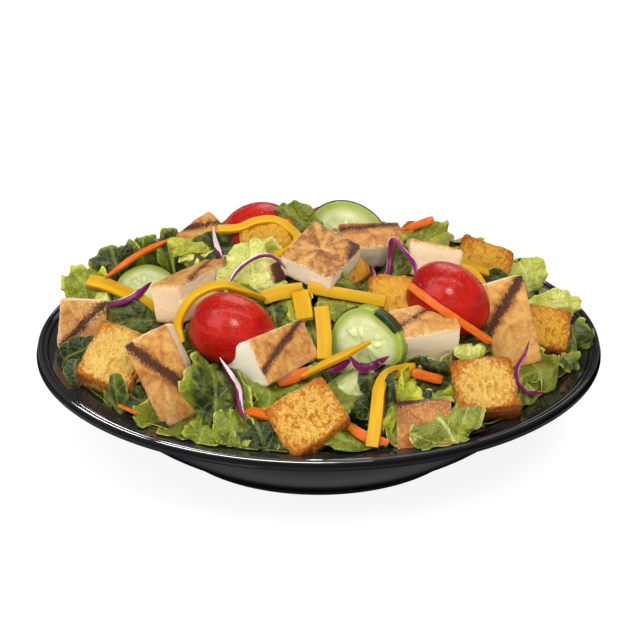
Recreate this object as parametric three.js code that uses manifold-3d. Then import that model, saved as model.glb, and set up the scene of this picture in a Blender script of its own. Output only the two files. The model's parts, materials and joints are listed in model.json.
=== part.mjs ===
// Garden salad with grilled chicken in a shallow round black bowl.
// Millimetres, +Z up. The origin is under the middle of the bowl, on the surface it stands on.
import * as THREE from "three";
import { ConvexGeometry } from "three/addons/geometries/ConvexGeometry.js";
import { mergeVertices } from "three/addons/utils/BufferGeometryUtils.js";
import Module from "manifold-3d";

// Bowl
const lipRadius = 110;
const bowlHeight = 39.7;
const footRadius = 59;
const footBand = 3;
const baseRecess = 1.8;
const wall = 0.9;
const wallTopRadius = 97;
const wallTopHeight = 35.5;
const flangeRise = 1.7;
const rimBead = 2.9;
const bowlSegments = 36;
const wallSteps = 5;
const flangeLift = 1.6;

// Cutting
const mergeDistance = 1e-4;
const cutTolerance = 0.06;
const cutReach = 60;

// Lettuce heap
const heapEdgeHeight = 38;
const heapRise = 36;
const heapPower = 2.1;
const heapLean = 16;
const heapReach = 98;
const heapEdgeReach = 99.5;
const heapEdgeSwing = 2.6;
const heapEdgeThickness = 4.5;
const heapLump = 2;
const heapRings = [0.18, 0.36, 0.53, 0.68, 0.81, 0.92];
const heapSpokes = 32;
const heapBackFall = 45;
const heapTolerance = 0.22;

// Toppings
const gap = 0.35;
const chickenBevel = 1.1;
const croutonBevel = 2.2;
const tomatoLength = 33;
const tomatoDiameter = 27;
const cucumberThickness = 6;
const cheeseWidth = 5.5;
const cheeseThickness = 2.2;
const carrotWidth = 3.6;
const carrotThickness = 1.8;
const cabbageWidth = 4;
const cabbageThickness = 1.4;
const stripStep = 6;
const stripMostSteps = 8;
const tomatoFullness = 0.07;
const tomatoSegments = 11;
const tomatoRings = 7;
const sliceWaviness = 0.025;
const sliceSegments = 20;

const finishes = {
  bowl: new THREE.MeshStandardMaterial({ color: 0x111112, roughness: 0.16, metalness: 0 }),
  lettuce: new THREE.MeshStandardMaterial({ color: 0x6f9a36, roughness: 0.5, metalness: 0 }),
  chicken: new THREE.MeshStandardMaterial({ color: 0xcf9352, roughness: 0.6, metalness: 0 }),
  crouton: new THREE.MeshStandardMaterial({ color: 0xdc9c3c, roughness: 0.85, metalness: 0 }),
  tomato: new THREE.MeshStandardMaterial({ color: 0xc4231c, roughness: 0.2, metalness: 0 }),
  cucumber: new THREE.MeshStandardMaterial({ color: 0xc6d98c, roughness: 0.4, metalness: 0 }),
  cheese: new THREE.MeshStandardMaterial({ color: 0xeeb02a, roughness: 0.5, metalness: 0 }),
  carrot: new THREE.MeshStandardMaterial({ color: 0xe4621f, roughness: 0.5, metalness: 0 }),
  cabbage: new THREE.MeshStandardMaterial({ color: 0x7d1f57, roughness: 0.4, metalness: 0 }),
};

const wasm = await Module();
wasm.setup();

// A closed geometry as a solid that can be cut. Edges shorter than tolerance close up as it is cut.
function toSolid(geometry, tolerance = cutTolerance) {
  const bare = geometry.clone();
  bare.deleteAttribute("normal");
  bare.deleteAttribute("uv");
  const merged = mergeVertices(bare, mergeDistance);
  return new wasm.Manifold(
    new wasm.Mesh({
      numProp: 3,
      vertProperties: new Float32Array(merged.attributes.position.array),
      triVerts: new Uint32Array(merged.index.array),
      tolerance,
    }),
  );
}

// A solid as flat-shaded geometry.
function toGeometry(solid) {
  const mesh = solid.getMesh();
  const geometry = new THREE.BufferGeometry();
  geometry.setAttribute("position", new THREE.BufferAttribute(mesh.vertProperties, 3));
  geometry.setIndex(new THREE.BufferAttribute(mesh.triVerts, 1));
  const flat = geometry.toNonIndexed();
  flat.computeVertexNormals();
  return flat;
}

function largestBody(solid) {
  return solid.decompose().reduce((best, body) => (body.volume() > best.volume() ? body : best));
}

// Moves every vertex of a geometry by a function of its place.
function reshape(geometry, move) {
  const position = geometry.attributes.position;
  const vertex = new THREE.Vector3();
  for (let i = 0; i < position.count; i += 1) {
    move(vertex.fromBufferAttribute(position, i));
    position.setXYZ(i, vertex.x, vertex.y, vertex.z);
  }
  return geometry;
}

// ---- bowl: one thin shell turned about Z ----

// The curve of the wall from the foot to the flange, set in from the outside by inset.
function wallCurve(inset) {
  return new THREE.QuadraticBezierCurve(
    new THREE.Vector2(footRadius - inset, footBand + inset * 0.3),
    new THREE.Vector2(footRadius + 24 - inset * 0.6, footBand + 10 + inset * 0.9),
    new THREE.Vector2(wallTopRadius - inset, wallTopHeight + inset * 0.4),
  ).getPoints(wallSteps);
}

function flangeTop(radius) {
  const start = wallTopRadius;
  const end = lipRadius - rimBead;
  const along = THREE.MathUtils.clamp((radius - start) / (end - start), 0, 1);
  return wallTopHeight + flangeLift + flangeRise * along;
}

function bowlProfile() {
  const bead = lipRadius - rimBead;
  const under = [
    new THREE.Vector2(0, baseRecess),
    new THREE.Vector2(footRadius - 5, baseRecess),
    new THREE.Vector2(footRadius - 4, 0),
    new THREE.Vector2(footRadius - 0.6, 0),
  ];
  const rim = [
    new THREE.Vector2(bead - 0.6, flangeTop(bead) - wall),
    new THREE.Vector2(bead + 0.9, bowlHeight - 1.6),
    new THREE.Vector2(lipRadius - 1, bowlHeight - 3.4),
    new THREE.Vector2(lipRadius, bowlHeight - 3.3),
    new THREE.Vector2(lipRadius, bowlHeight - 2),
    new THREE.Vector2(lipRadius - 0.9, bowlHeight - 1),
    new THREE.Vector2(lipRadius - 1.4, bowlHeight - 0.2),
    new THREE.Vector2(lipRadius - 2, bowlHeight),
    new THREE.Vector2(lipRadius - 2.6, bowlHeight - 0.5),
    new THREE.Vector2(bead, bowlHeight - 1.2),
    new THREE.Vector2(bead - 0.7, flangeTop(bead)),
    new THREE.Vector2(wallTopRadius + 0.6, flangeTop(wallTopRadius)),
  ];
  const inside = wallCurve(wall).reverse();
  const floor = [
    new THREE.Vector2(footRadius - 1.8, wall),
    new THREE.Vector2(footRadius - 3.6, wall),
    new THREE.Vector2(footRadius - 5, baseRecess + wall),
    new THREE.Vector2(0, baseRecess + wall),
  ];
  return [...under, ...wallCurve(0), ...rim, ...inside, ...floor];
}

function bowlGeometry() {
  return new THREE.LatheGeometry(bowlProfile(), bowlSegments).rotateX(Math.PI / 2);
}

// The space that food keeps out of: the bowl's inside grown by the gap, with all that is below it.
function bowlKeepOut() {
  const margin = 30;
  const bead = lipRadius - rimBead;
  const over = [
    new THREE.Vector2(lipRadius + margin, bowlHeight + gap),
    new THREE.Vector2(bead - 0.4, bowlHeight + gap),
    new THREE.Vector2(bead - 1.2, flangeTop(bead) + gap),
    new THREE.Vector2(wallTopRadius + 0.4, flangeTop(wallTopRadius) + gap),
  ];
  const profile = [
    new THREE.Vector2(0, -margin),
    new THREE.Vector2(lipRadius + margin, -margin),
    ...over,
    ...wallCurve(wall + gap * 1.4).reverse(),
    new THREE.Vector2(footRadius - 5, baseRecess + wall + gap),
    new THREE.Vector2(0, baseRecess + wall + gap),
  ];
  return new THREE.LatheGeometry(profile, bowlSegments).rotateX(Math.PI / 2);
}

// ---- lettuce heap: a domed solid that fills the bowl, with leaves standing up as mounds ----

const leafMounds = [
  { at: [-84, 24], height: 17, spread: 13 },
  { at: [-68, 30], height: 14, spread: 13 },
  { at: [-94, 2], height: 11, spread: 9 },
  { at: [-30, 44], height: 8, spread: 16 },
  { at: [0, 26], height: 7, spread: 12 },
  { at: [52, 30], height: 13, spread: 12 },
  { at: [80, 32], height: 15, spread: 12 },
  { at: [94, 2], height: 9, spread: 10 },
  { at: [90, -38], height: 5, spread: 10 },
  { at: [40, -84], height: 3, spread: 10 },
  { at: [-42, -74], height: 5, spread: 10 },
  { at: [24, 72], height: 5, spread: 14 },
  { at: [-66, 58], height: 8, spread: 13 },
  { at: [66, 60], height: 6, spread: 12 },
  { at: [-14, 86], height: 5, spread: 13 },
];

// The dome of the heap, higher behind its middle than before it, and falling away at the back.
function heapTop(x, y) {
  const out = Math.min(Math.hypot(x, y), heapReach) / heapReach;
  const dome = heapEdgeHeight + heapRise * (1 - out ** heapPower);
  const fall = y > 0 ? Math.exp(-((y / heapBackFall) ** 2)) : 1;
  return dome + heapLean * (y / heapReach) * (1 - out ** 2) * fall;
}

function heapSurface(x, y) {
  const mounds = leafMounds.reduce((sum, { at, height, spread }) => {
    const away = Math.hypot(x - at[0], y - at[1]) / spread;
    return sum + height * Math.exp(-away * away);
  }, 0);
  return heapTop(x, y) + mounds + heapLump * Math.sin(x * 0.16) * Math.cos(y * 0.19 + x * 0.07);
}

function heapEdge(turn) {
  return heapEdgeReach + heapEdgeSwing * (0.6 * Math.sin(5 * turn + 0.6) + 0.4 * Math.sin(11 * turn));
}

// The rings of the heap from the middle of its underside, out along the bowl, and back over the top.
function heapRingPoints(turn) {
  const at = (radius, height) => {
    return [radius * Math.cos(turn), radius * Math.sin(turn), height];
  };
  const clear = gap + 0.1;
  const under = wallCurve(wall)
    .map((point) => at(point.x - clear, point.y + clear * 0.7));
  const edge = heapEdge(turn);
  const edgeHeight = flangeTop(edge) + clear;
  const top = heapRings
    .map((share) => {
      const [x, y] = at(share * edge, 0);
      return [x, y, Math.max(heapSurface(x, y), edgeHeight + heapEdgeThickness)];
    })
    .reverse();
  return [
    at(footRadius * 0.5, baseRecess + wall + clear),
    at(footRadius - 6, baseRecess + wall + clear),
    ...under,
    at(edge - 2.5, edgeHeight + 0.3),
    at(edge, edgeHeight + heapEdgeThickness * 0.6),
    ...top,
  ];
}

function heapGeometry() {
  const spokes = Array.from({ length: heapSpokes }, (unused, i) => {
    return heapRingPoints((i / heapSpokes) * 2 * Math.PI);
  });
  const rings = spokes[0].length;
  const bottomMiddle = heapSpokes * rings;
  const topMiddle = bottomMiddle + 1;
  const index = [];
  for (let i = 0; i < heapSpokes; i += 1) {
    const next = (i + 1) % heapSpokes;
    index.push(bottomMiddle, next * rings, i * rings);
    index.push(topMiddle, i * rings + rings - 1, next * rings + rings - 1);
    for (let k = 0; k + 1 < rings; k += 1) {
      const a = i * rings + k;
      const b = next * rings + k;
      index.push(a, b, b + 1);
      index.push(a, b + 1, a + 1);
    }
  }
  const middles = [0, 0, baseRecess + wall + gap, 0, 0, heapSurface(0, 0)];
  const places = new Float32Array([...spokes.flat(2), ...middles]);
  const geometry = new THREE.BufferGeometry();
  geometry.setAttribute("position", new THREE.BufferAttribute(places, 3));
  geometry.setIndex(index);
  return geometry;
}

// ---- shapes of the toppings, each made at the origin, swollen by grow where it cuts a neighbour ----

// A hand-cut block with bevelled edges, its origin in the middle of its upper face.
// lean shifts the upper face against the lower, wedge narrows it along its length.
function blockGeometry({ size, lean = [0, 0], wedge = 0, bevel }, grow) {
  const [length, width, thickness] = size;
  const half = size.map((side) => side / 2 + grow);
  const edge = bevel + grow * 0.6;
  const corners = [];
  for (let corner = 0; corner < 8; corner += 1) {
    const sign = [corner & 1, corner & 2, corner & 4].map((bit) => (bit ? 1 : -1));
    for (let flush = 0; flush < 3; flush += 1) {
      const place = half.map((reach, axis) => sign[axis] * (axis === flush ? reach : reach - edge));
      corners.push(new THREE.Vector3(...place));
    }
  }
  return reshape(new ConvexGeometry(corners), (v) => {
    const level = v.z / thickness;
    v.y *= 1 + (wedge * v.x) / length;
    v.x += lean[0] * level;
    v.y += lean[1] * level;
    v.z -= thickness / 2;
  });
}

// A grape tomato, long in X, fuller towards one end.
function tomatoGeometry({ scale = 1 }, grow) {
  const ball = new THREE.SphereGeometry(1, tomatoSegments, tomatoRings).rotateZ(Math.PI / 2);
  return reshape(ball, (v) => {
    const full = 1 - tomatoFullness * v.x;
    v.x *= (tomatoLength * scale) / 2 + grow;
    v.y *= ((tomatoDiameter * scale) / 2) * full + grow;
    v.z *= ((tomatoDiameter * scale) / 2) * full + grow;
  });
}

// A round slice, a little out of true, its cut faces square to Z.
function sliceGeometry({ radius }, grow) {
  const disc = new THREE.CylinderGeometry(1, 1, cucumberThickness + 2 * grow, sliceSegments);
  disc.rotateX(Math.PI / 2);
  return reshape(disc, (v) => {
    const turn = Math.atan2(v.y, v.x);
    const reach = radius * (1 + sliceWaviness * Math.cos(3 * turn)) + grow;
    v.x *= reach;
    v.y *= reach;
    v.z -= cucumberThickness / 2;
  });
}

// A flat strip bent along a smooth curve through its points, its flat side turned towards face.
function stripGeometry({ points, face = [0, 0, 1], twist = 0, width, thickness }, grow) {
  const curve = new THREE.CatmullRomCurve3(points.map((p) => new THREE.Vector3(...p)));
  const steps = THREE.MathUtils.clamp(Math.round(curve.getLength() / stripStep), 1, stripMostSteps);
  const strip = new THREE.BoxGeometry(1, width + 2 * grow, thickness + 2 * grow, steps, 1, 1);
  return reshape(strip, (v) => {
    const { x, y, z } = v;
    const along = THREE.MathUtils.clamp(x + 0.5, 0, 1);
    const ahead = curve.getTangentAt(along);
    const flat = new THREE.Vector3(...face).projectOnPlane(ahead).normalize();
    flat.applyAxisAngle(ahead, THREE.MathUtils.degToRad(twist * (along - 0.5)));
    const across = flat.clone().cross(ahead);
    const overrun = Math.abs(x) > 0.499 ? Math.sign(x) * grow : 0;
    v.copy(curve.getPointAt(along));
    v.addScaledVector(ahead, overrun);
    v.addScaledVector(across, y);
    v.addScaledVector(flat, z);
  });
}

// ---- placing ----

// The turn that points local Z along a bearing and pitch (degrees), then spins about it.
function turnTo([bearing, pitch], spin) {
  const b = THREE.MathUtils.degToRad(bearing);
  const p = THREE.MathUtils.degToRad(pitch);
  const right = new THREE.Vector3(-Math.sin(b), Math.cos(b), 0);
  const out = new THREE.Vector3(Math.cos(p) * Math.cos(b), Math.cos(p) * Math.sin(b), Math.sin(p));
  const up = out.clone().cross(right);
  const basis = new THREE.Matrix4().makeBasis(right, up, out);
  const spun = new THREE.Matrix4().makeRotationZ(THREE.MathUtils.degToRad(spin));
  return new THREE.Quaternion().setFromRotationMatrix(basis.multiply(spun));
}

function pieceName(kind, number) {
  return `${kind}_${String(number).padStart(2, "0")}`;
}

// A topping laid on the heap: at is where it lies, lift how far it stands above the heap's dome.
function laid(kind, number, shape, { at, lift = 0, facing, spin = 0, ...form }) {
  return {
    name: pieceName(kind, number),
    kind,
    make: (grow) => shape(form, grow),
    position: new THREE.Vector3(at[0], at[1], heapTop(...at) + lift),
    quaternion: turnTo(facing, spin),
  };
}

const chickenBlocks = [
  { at: [-91, -8], lift: 5, facing: [-80, 20], spin: -8, size: [18, 20, 8], wedge: 0.1 },
  { at: [-57, -63], lift: 6, facing: [-108, 18], spin: 32, size: [19, 35, 10], lean: [1, 0] },
  { at: [-49, -15], lift: 10, facing: [140, 76], spin: 5, size: [34, 13, 15], wedge: 0.15 },
  { at: [1, -16], lift: 12, facing: [-82, 66], spin: -40, size: [22, 22.5, 10], lean: [0, 1] },
  { at: [-12, -62], lift: 8, facing: [-48, 33], spin: 5, size: [27, 17, 20], wedge: -0.15 },
  { at: [39, -45], lift: 10, facing: [-80, 70], spin: 10, size: [24, 16, 19], lean: [1, 1] },
  { at: [72, -30], lift: 8, facing: [-78, 22], spin: 9, size: [18.5, 34, 9], lean: [1, 0] },
  { at: [-44, 18], lift: 7, facing: [-100, 50], spin: 35, size: [15, 15, 10], lean: [1, 0] },
  { at: [21, 2], lift: 9, facing: [-70, 60], spin: -8, size: [25, 12, 14], lean: [-2, 0] },
  { at: [45, 1], lift: 11, facing: [60, 66], spin: 33, size: [21, 12, 14], wedge: 0.2 },
  { at: [38, -87], lift: 5, facing: [-95, 48], spin: 6, size: [20, 19, 9], wedge: -0.1 },
  { at: [-15, -18], lift: 5, facing: [-60, 20], spin: 10, size: [6, 8, 7] },
  { at: [-26, 64], lift: 6, facing: [110, 48], spin: 20, size: [26, 19, 14], wedge: 0.1 },
];

const croutonBlocks = [
  { at: [-77, -45], lift: 8, facing: [-108, 45], spin: -12, size: [23.5, 24, 15], lean: [1, 1] },
  { at: [-4, -91], lift: 7.5, facing: [-92, 42], spin: 36, size: [25, 22, 15], wedge: -0.1 },
  { at: [61, -67], lift: 8, facing: [-85, 48], spin: 3, size: [23.5, 22.5, 16], lean: [-1, 0] },
  { at: [87, -16], lift: 6, facing: [-70, 40], spin: -22, size: [21, 18, 14], wedge: 0.15 },
  { at: [65, 17], lift: 5, facing: [-85, 35], spin: -14, size: [22, 18, 14], wedge: -0.2 },
  { at: [-20, 2], lift: 8, facing: [-95, 52], spin: 8, size: [22, 15, 12], wedge: 0.2 },
  { at: [29, -28], lift: 4, facing: [-88, 50], spin: -5, size: [21, 17, 13], lean: [0, 2] },
  { at: [13, -12], lift: 2, facing: [-60, 40], spin: 20, size: [15, 13, 10], wedge: 0.1 },
  { at: [44, 64], lift: 5, facing: [75, 45], spin: 25, size: [22, 21, 16], lean: [1, 0] },
];

const tomatoes = [
  { at: [-32, -50], lift: 8, facing: [-90, 24], spin: -16 },
  { at: [49, -29], lift: 8, facing: [-90, 24], spin: -30 },
  { at: [-24, 16], lift: 3, facing: [-90, 24], spin: 18, scale: 0.93 },
  { at: [6, 82], lift: 0, facing: [90, 40], spin: 25, scale: 0.98 },
];

const cucumberSlices = [
  { at: [17, -53], lift: 2, facing: [-113, 12], radius: 14.5 },
  { at: [10, 14], lift: -2, facing: [-90, 22], radius: 17 },
  { at: [-66, 9], lift: 3, facing: [-105, 60], radius: 16 },
  { at: [11, -70], lift: -2, facing: [-158, 52], radius: 15 },
  { at: [-58, 62], lift: 3, facing: [140, 50], radius: 19 },
];

// Strips, each by the points it runs through. face is where its flat side looks.
const towardsFront = [0, -0.9, 0.4];
const upAndFront = [0, -0.5, 0.85];

const cheeseStrips = [
  {
    points: [[-51, -52, 60], [-52, -48, 66], [-48, -46, 74], [-42, -44, 78], [-35, -42, 79], [-28, -38, 75],
      [-21, -31, 69]],
    face: [-0.4, -0.5, 0.8],
    width: 4.5,
  },
  {
    points: [[-37, 7, 79], [-29, 8, 82], [-23, 8, 86], [-16, 8, 87], [-10, 5, 84], [-7, -4, 83],
      [-10, -10, 81], [-16, -8, 78]],
    face: upAndFront,
    width: 4.5,
  },
  { points: [[-21, -29, 68], [-14, -28, 70], [-6, -27, 71]], face: towardsFront, twist: 30 },
  { points: [[-4, -25, 71], [4, -27, 70], [14, -29, 69], [25, -32, 68]], face: towardsFront, width: 4.5 },
  { points: [[-7, -30, 71], [-6, -36, 68], [-5, -42, 65]], face: towardsFront, width: 6.5 },
  { points: [[1, -42, 70], [2, -50, 63], [2, -58, 56]], face: towardsFront },
  { points: [[19, -58, 63], [10, -60, 59], [1, -66, 57], [-6, -69, 54]], face: [0, 0, 1], width: 4 },
  {
    points: [[35, -62, 54], [30, -66, 55], [25, -72, 56], [22, -79, 54], [21, -86, 50], [20, -92, 44],
      [19, -96, 39]],
    face: [-0.3, -0.9, 0.3],
    width: 4.8,
  },
  { points: [[-90, 8, 60], [-82, 5, 59], [-72, -4, 58], [-62, -14, 57]], face: upAndFront },
  { points: [[47, 6, 73], [56, 4, 68], [66, 8, 63]], face: upAndFront, width: 3.5 },
  { points: [[54, -14, 74], [59, -16, 72], [63, -22, 67]], face: towardsFront, width: 4.5 },
];

const carrotStrips = [
  { points: [[-58, 22, 70], [-70, 14, 67], [-83, 9, 61]], face: upAndFront, width: 3 },
  { points: [[37, 36, 72], [46, 34, 75]], face: towardsFront, width: 3 },
  { points: [[34, -33, 75], [43, -42, 71], [52, -43, 65], [64, -42, 56]], face: towardsFront, width: 3 },
  { points: [[-72, -68, 42], [-66, -75, 42]], face: towardsFront, width: 2.4 },
  { points: [[-26, -81, 46], [-17, -89, 48]], face: upAndFront },
  { points: [[11, -89, 43], [18, -94, 41], [25, -95, 40]], face: towardsFront },
  { points: [[34, -65, 54], [45, -63, 50]], face: towardsFront },
  { points: [[-15, -67, 51], [-3, -64, 54]], face: towardsFront, width: 4.5 },
];

const cabbageStrips = [
  { points: [[-82, -5, 55], [-75, -5, 56], [-69, -2, 58], [-65, 2, 61]], face: towardsFront, twist: 40 },
  { points: [[-41, 14, 80], [-40, 8, 76], [-37, -2, 72]], face: towardsFront, width: 2.4 },
  {
    points: [[-34, -17, 68], [-30, -10, 73], [-25, -8, 76], [-19, -9, 78], [-16, -12, 76],
      [-13, -16, 75]],
    face: upAndFront,
    width: 2.4,
  },
  {
    points: [[20, -10, 74], [22, -14, 70], [26, -12, 71], [27, -8, 76], [28, -9, 84], [32, -12, 81],
      [36, -20, 78], [38, -37, 76]],
    face: towardsFront,
    width: 2.6,
  },
  {
    points: [[-36, -63, 59], [-32, -67, 54], [-29, -74, 51], [-28, -81, 47], [-26, -87, 45]],
    face: towardsFront,
    width: 3,
  },
  { points: [[26, -60, 58], [20, -66, 57], [15, -65, 56], [11, -59, 58]], face: towardsFront, width: 3 },
  { points: [[3, -65, 54], [7, -62, 55], [12, -58, 56]], face: towardsFront, width: 5 },
  {
    points: [[79, -38, 55], [77, -40, 50], [74, -46, 47], [74, -53, 44], [78, -57, 42], [85, -53, 40]],
    face: towardsFront,
    width: 2.2,
  },
];

// A strip hung on its middle point.
function strung(kind, number, entry, width, thickness) {
  const middle = entry.points[Math.floor(entry.points.length / 2)];
  const points = entry.points.map((point) => point.map((value, axis) => value - middle[axis]));
  const form = { width, thickness, ...entry, points };
  return {
    name: pieceName(kind, number),
    kind,
    make: (grow) => stripGeometry(form, grow),
    position: new THREE.Vector3(...middle),
    quaternion: new THREE.Quaternion(),
  };
}

function strips(kind, list, width, thickness) {
  return list.map((entry, i) => strung(kind, i + 1, entry, width, thickness));
}

function blocks(kind, list, bevel) {
  return list.map((entry, i) => laid(kind, i + 1, blockGeometry, { bevel, ...entry }));
}

// Those on top come first, and are left whole where they press into those below.
const toppings = [
  ...strips("cheese", cheeseStrips, cheeseWidth, cheeseThickness),
  ...strips("carrot", carrotStrips, carrotWidth, carrotThickness),
  ...strips("cabbage", cabbageStrips, cabbageWidth, cabbageThickness),
  ...blocks("chicken", chickenBlocks, chickenBevel),
  ...blocks("crouton", croutonBlocks, croutonBevel),
  ...tomatoes.map((entry, i) => laid("tomato", i + 1, tomatoGeometry, entry)),
  ...cucumberSlices.map((entry, i) => laid("cucumber", i + 1, sliceGeometry, entry)),
];

// ---- building: each piece is cut by the grown shapes of those before it ----

function matrixOf({ position, quaternion }) {
  return new THREE.Matrix4().compose(position, quaternion, new THREE.Vector3(1, 1, 1));
}

function carve(solid, place, cutters) {
  const home = place.clone().invert();
  const cut = cutters.reduce((left, cutter) => {
    const toHere = home.clone().multiply(cutter.place);
    return left.subtract(cutter.solid.transform(toHere.elements));
  }, solid);
  return largestBody(cut);
}

// Pieces further apart than this between their middles can't touch.
function near(a, b) {
  return a.position.distanceTo(b.position) < cutReach;
}

function meshOf(name, kind, solid) {
  const mesh = new THREE.Mesh(toGeometry(solid), finishes[kind]);
  mesh.name = name;
  return mesh;
}

const salad = new THREE.Group();
const bowl = new THREE.Mesh(bowlGeometry(), finishes.bowl);
bowl.name = "bowl";
salad.add(bowl);

const keepOut = { place: new THREE.Matrix4(), solid: toSolid(bowlKeepOut()) };
const cutters = [];
for (const topping of toppings) {
  const place = matrixOf(topping);
  const neighbours = cutters.filter((cutter) => near(cutter, topping));
  const solid = carve(toSolid(topping.make(0)), place, [keepOut, ...neighbours]);
  const mesh = meshOf(topping.name, topping.kind, solid);
  mesh.position.copy(topping.position);
  mesh.quaternion.copy(topping.quaternion);
  salad.add(mesh);
  cutters.push({ position: topping.position, place, solid: toSolid(topping.make(gap)) });
}
const heap = carve(toSolid(heapGeometry(), heapTolerance), new THREE.Matrix4(), cutters);
salad.add(meshOf("lettuce_heap", "lettuce", heap));

export default salad;
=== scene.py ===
# Garden salad with grilled chicken, in its shallow round black bowl. Lengths in the tables are millimetres.
import json
import math

import bpy
import numpy as np
from mathutils import Matrix, Vector

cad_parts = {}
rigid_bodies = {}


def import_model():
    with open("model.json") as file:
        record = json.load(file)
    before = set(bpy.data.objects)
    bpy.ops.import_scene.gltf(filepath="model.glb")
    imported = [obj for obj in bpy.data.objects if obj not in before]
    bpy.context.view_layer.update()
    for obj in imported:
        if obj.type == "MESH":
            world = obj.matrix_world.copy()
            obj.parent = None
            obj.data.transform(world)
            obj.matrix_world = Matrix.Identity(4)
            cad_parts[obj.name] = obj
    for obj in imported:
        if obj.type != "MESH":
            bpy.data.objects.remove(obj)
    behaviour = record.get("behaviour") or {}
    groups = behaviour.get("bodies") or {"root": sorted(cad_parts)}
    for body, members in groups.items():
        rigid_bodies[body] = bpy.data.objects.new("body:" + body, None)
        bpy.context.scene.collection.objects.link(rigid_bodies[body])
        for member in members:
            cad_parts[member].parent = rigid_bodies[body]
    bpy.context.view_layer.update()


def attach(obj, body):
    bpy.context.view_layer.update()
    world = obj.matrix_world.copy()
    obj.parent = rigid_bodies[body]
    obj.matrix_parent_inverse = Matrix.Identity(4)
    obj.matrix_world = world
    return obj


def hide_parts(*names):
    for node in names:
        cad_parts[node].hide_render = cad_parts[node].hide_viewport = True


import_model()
mm = 0.001

cameraView = {"location": (0, -0.8988, 0.4384), "aim": (0.0005, 0, 0.0465), "lens": 141.34, "farthest": 20}


def deselectAll():
    if bpy.context.object and bpy.context.object.mode != "OBJECT":
        bpy.ops.object.mode_set(mode="OBJECT")
    bpy.ops.object.select_all(action="DESELECT")


def makeActive(piece):
    deselectAll()
    piece.select_set(True)
    bpy.context.view_layer.objects.active = piece


def turnTowards(place, target):
    # how a camera or lamp at this place is turned to look at the target
    return (Vector(target) - Vector(place)).to_track_quat("-Z", "Y").to_euler()


def addCamera():
    deselectAll()
    place = cameraView["location"]
    bpy.ops.object.camera_add(location=place, rotation=turnTowards(place, cameraView["aim"]))
    camera = bpy.context.object
    camera.data.lens = cameraView["lens"]
    camera.data.clip_end = cameraView["farthest"]
    bpy.context.scene.camera = camera


addCamera()
print("camera in place")

# helpers for meshes


def applyModifier(piece, kind, **settings):
    makeActive(piece)
    modifier = piece.modifiers.new("step", kind)
    for key, value in settings.items():
        setattr(modifier, key, value)
    bpy.ops.object.modifier_apply(modifier="step")


def bevelEdges(piece, width, segments, degrees):
    edges = {"limit_method": "ANGLE", "angle_limit": math.radians(degrees)}
    applyModifier(piece, "BEVEL", width=width * mm, segments=segments, **edges)


def points(piece, field="co"):
    flat = np.empty(len(piece.data.vertices) * 3, np.float32)
    piece.data.vertices.foreach_get(field, flat)
    return flat.reshape(-1, 3).astype(float)


def setPoints(piece, places):
    piece.data.vertices.foreach_set("co", np.asarray(places, np.float32).ravel())
    piece.data.update()


def setValues(piece, **layers):
    # named values or places for each point; one number alone goes to all points
    for name, values in layers.items():
        values = np.asarray(values, np.float32)
        if not values.ndim:
            values = np.full(len(piece.data.vertices), values)
        kind, field = ("FLOAT", "value") if values.ndim == 1 else ("FLOAT_VECTOR", "vector")
        layer = piece.data.attributes.new(name, kind, "POINT")
        layer.data.foreach_set(field, values.ravel())


def noiseAt(places, size, seed=0):
    # smooth noise from -1 to 1, with lumps about as wide as size
    spot = np.asarray(places, float) / size + np.array([seed * 7.31, seed * 3.17, seed * 5.73])
    cell = np.floor(spot).astype(np.int64)
    part = spot - cell
    part = part * part * (3 - 2 * part)
    total = np.zeros(len(spot))
    for corner in range(8):
        step = np.array([corner & 1, corner >> 1 & 1, corner >> 2 & 1])
        at = cell + step
        mixed = (at[:, 0] * 374761393 + at[:, 1] * 668265263 + at[:, 2] * 1274126177) & 0xFFFFFFFF
        mixed = ((mixed ^ (mixed >> 13)) * 1103515245) & 0xFFFFFFFF
        value = ((mixed ^ (mixed >> 16)) & 0xFFFF) / 32767.5 - 1
        weight = np.prod(np.where(step, part, 1 - part), axis=1)
        total += value * weight
    return total


def smoothStep(low, high, value):
    share = np.clip((value - low) / (high - low), 0, 1)
    return share * share * (3 - 2 * share)


def makePiece(name, places, faces):
    mesh = bpy.data.meshes.new(name)
    mesh.from_pydata([tuple(p) for p in places], [], faces)
    piece = bpy.data.objects.new(name, mesh)
    bpy.context.scene.collection.objects.link(piece)
    return piece


def finishPiece(piece, name, material, nodes, smoothAngle=None):
    piece.name = name
    piece.data.name = name
    piece.data.materials.clear()
    piece.data.materials.append(material)
    makeActive(piece)
    if smoothAngle is None:
        bpy.ops.object.shade_smooth()
    else:
        bpy.ops.object.shade_smooth_by_angle(angle=math.radians(smoothAngle))
    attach(piece, "root")
    if nodes:
        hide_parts(*nodes)


def makeAll(make, entries, material, firstSeed, label):
    for number, (name, entry) in enumerate(entries.items()):
        make(name, entry, material, firstSeed + number)
    print(label, "made")


# helpers for materials; a socket knows the node tree that it belongs to


def isSocket(value):
    return isinstance(value, bpy.types.NodeSocket)


def feed(plug, value):
    if isSocket(value):
        plug.id_data.links.new(value, plug)
    else:
        plug.default_value = value


def put(tree, kind, inputs=None, **settings):
    node = tree.nodes.new(kind)
    for key, value in settings.items():
        setattr(node, key, value)
    for key, value in (inputs or {}).items():
        feed(node.inputs[key], value)
    return node


def calc(operation, first, second=0.0):
    tree = (first if isSocket(first) else second).id_data
    return put(tree, "ShaderNodeMath", {0: first, 1: second}, operation=operation).outputs[0]


def times(first, second):
    return calc("MULTIPLY", first, second)


def plus(first, *others):
    for other in others:
        first = calc("ADD", first, other)
    return first


def minus(first, second):
    return calc("SUBTRACT", first, second)


def swing(value, size):
    # a value from 0 to 1, moved to lie around 0 and scaled
    return times(minus(value, 0.5), size)


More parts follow.
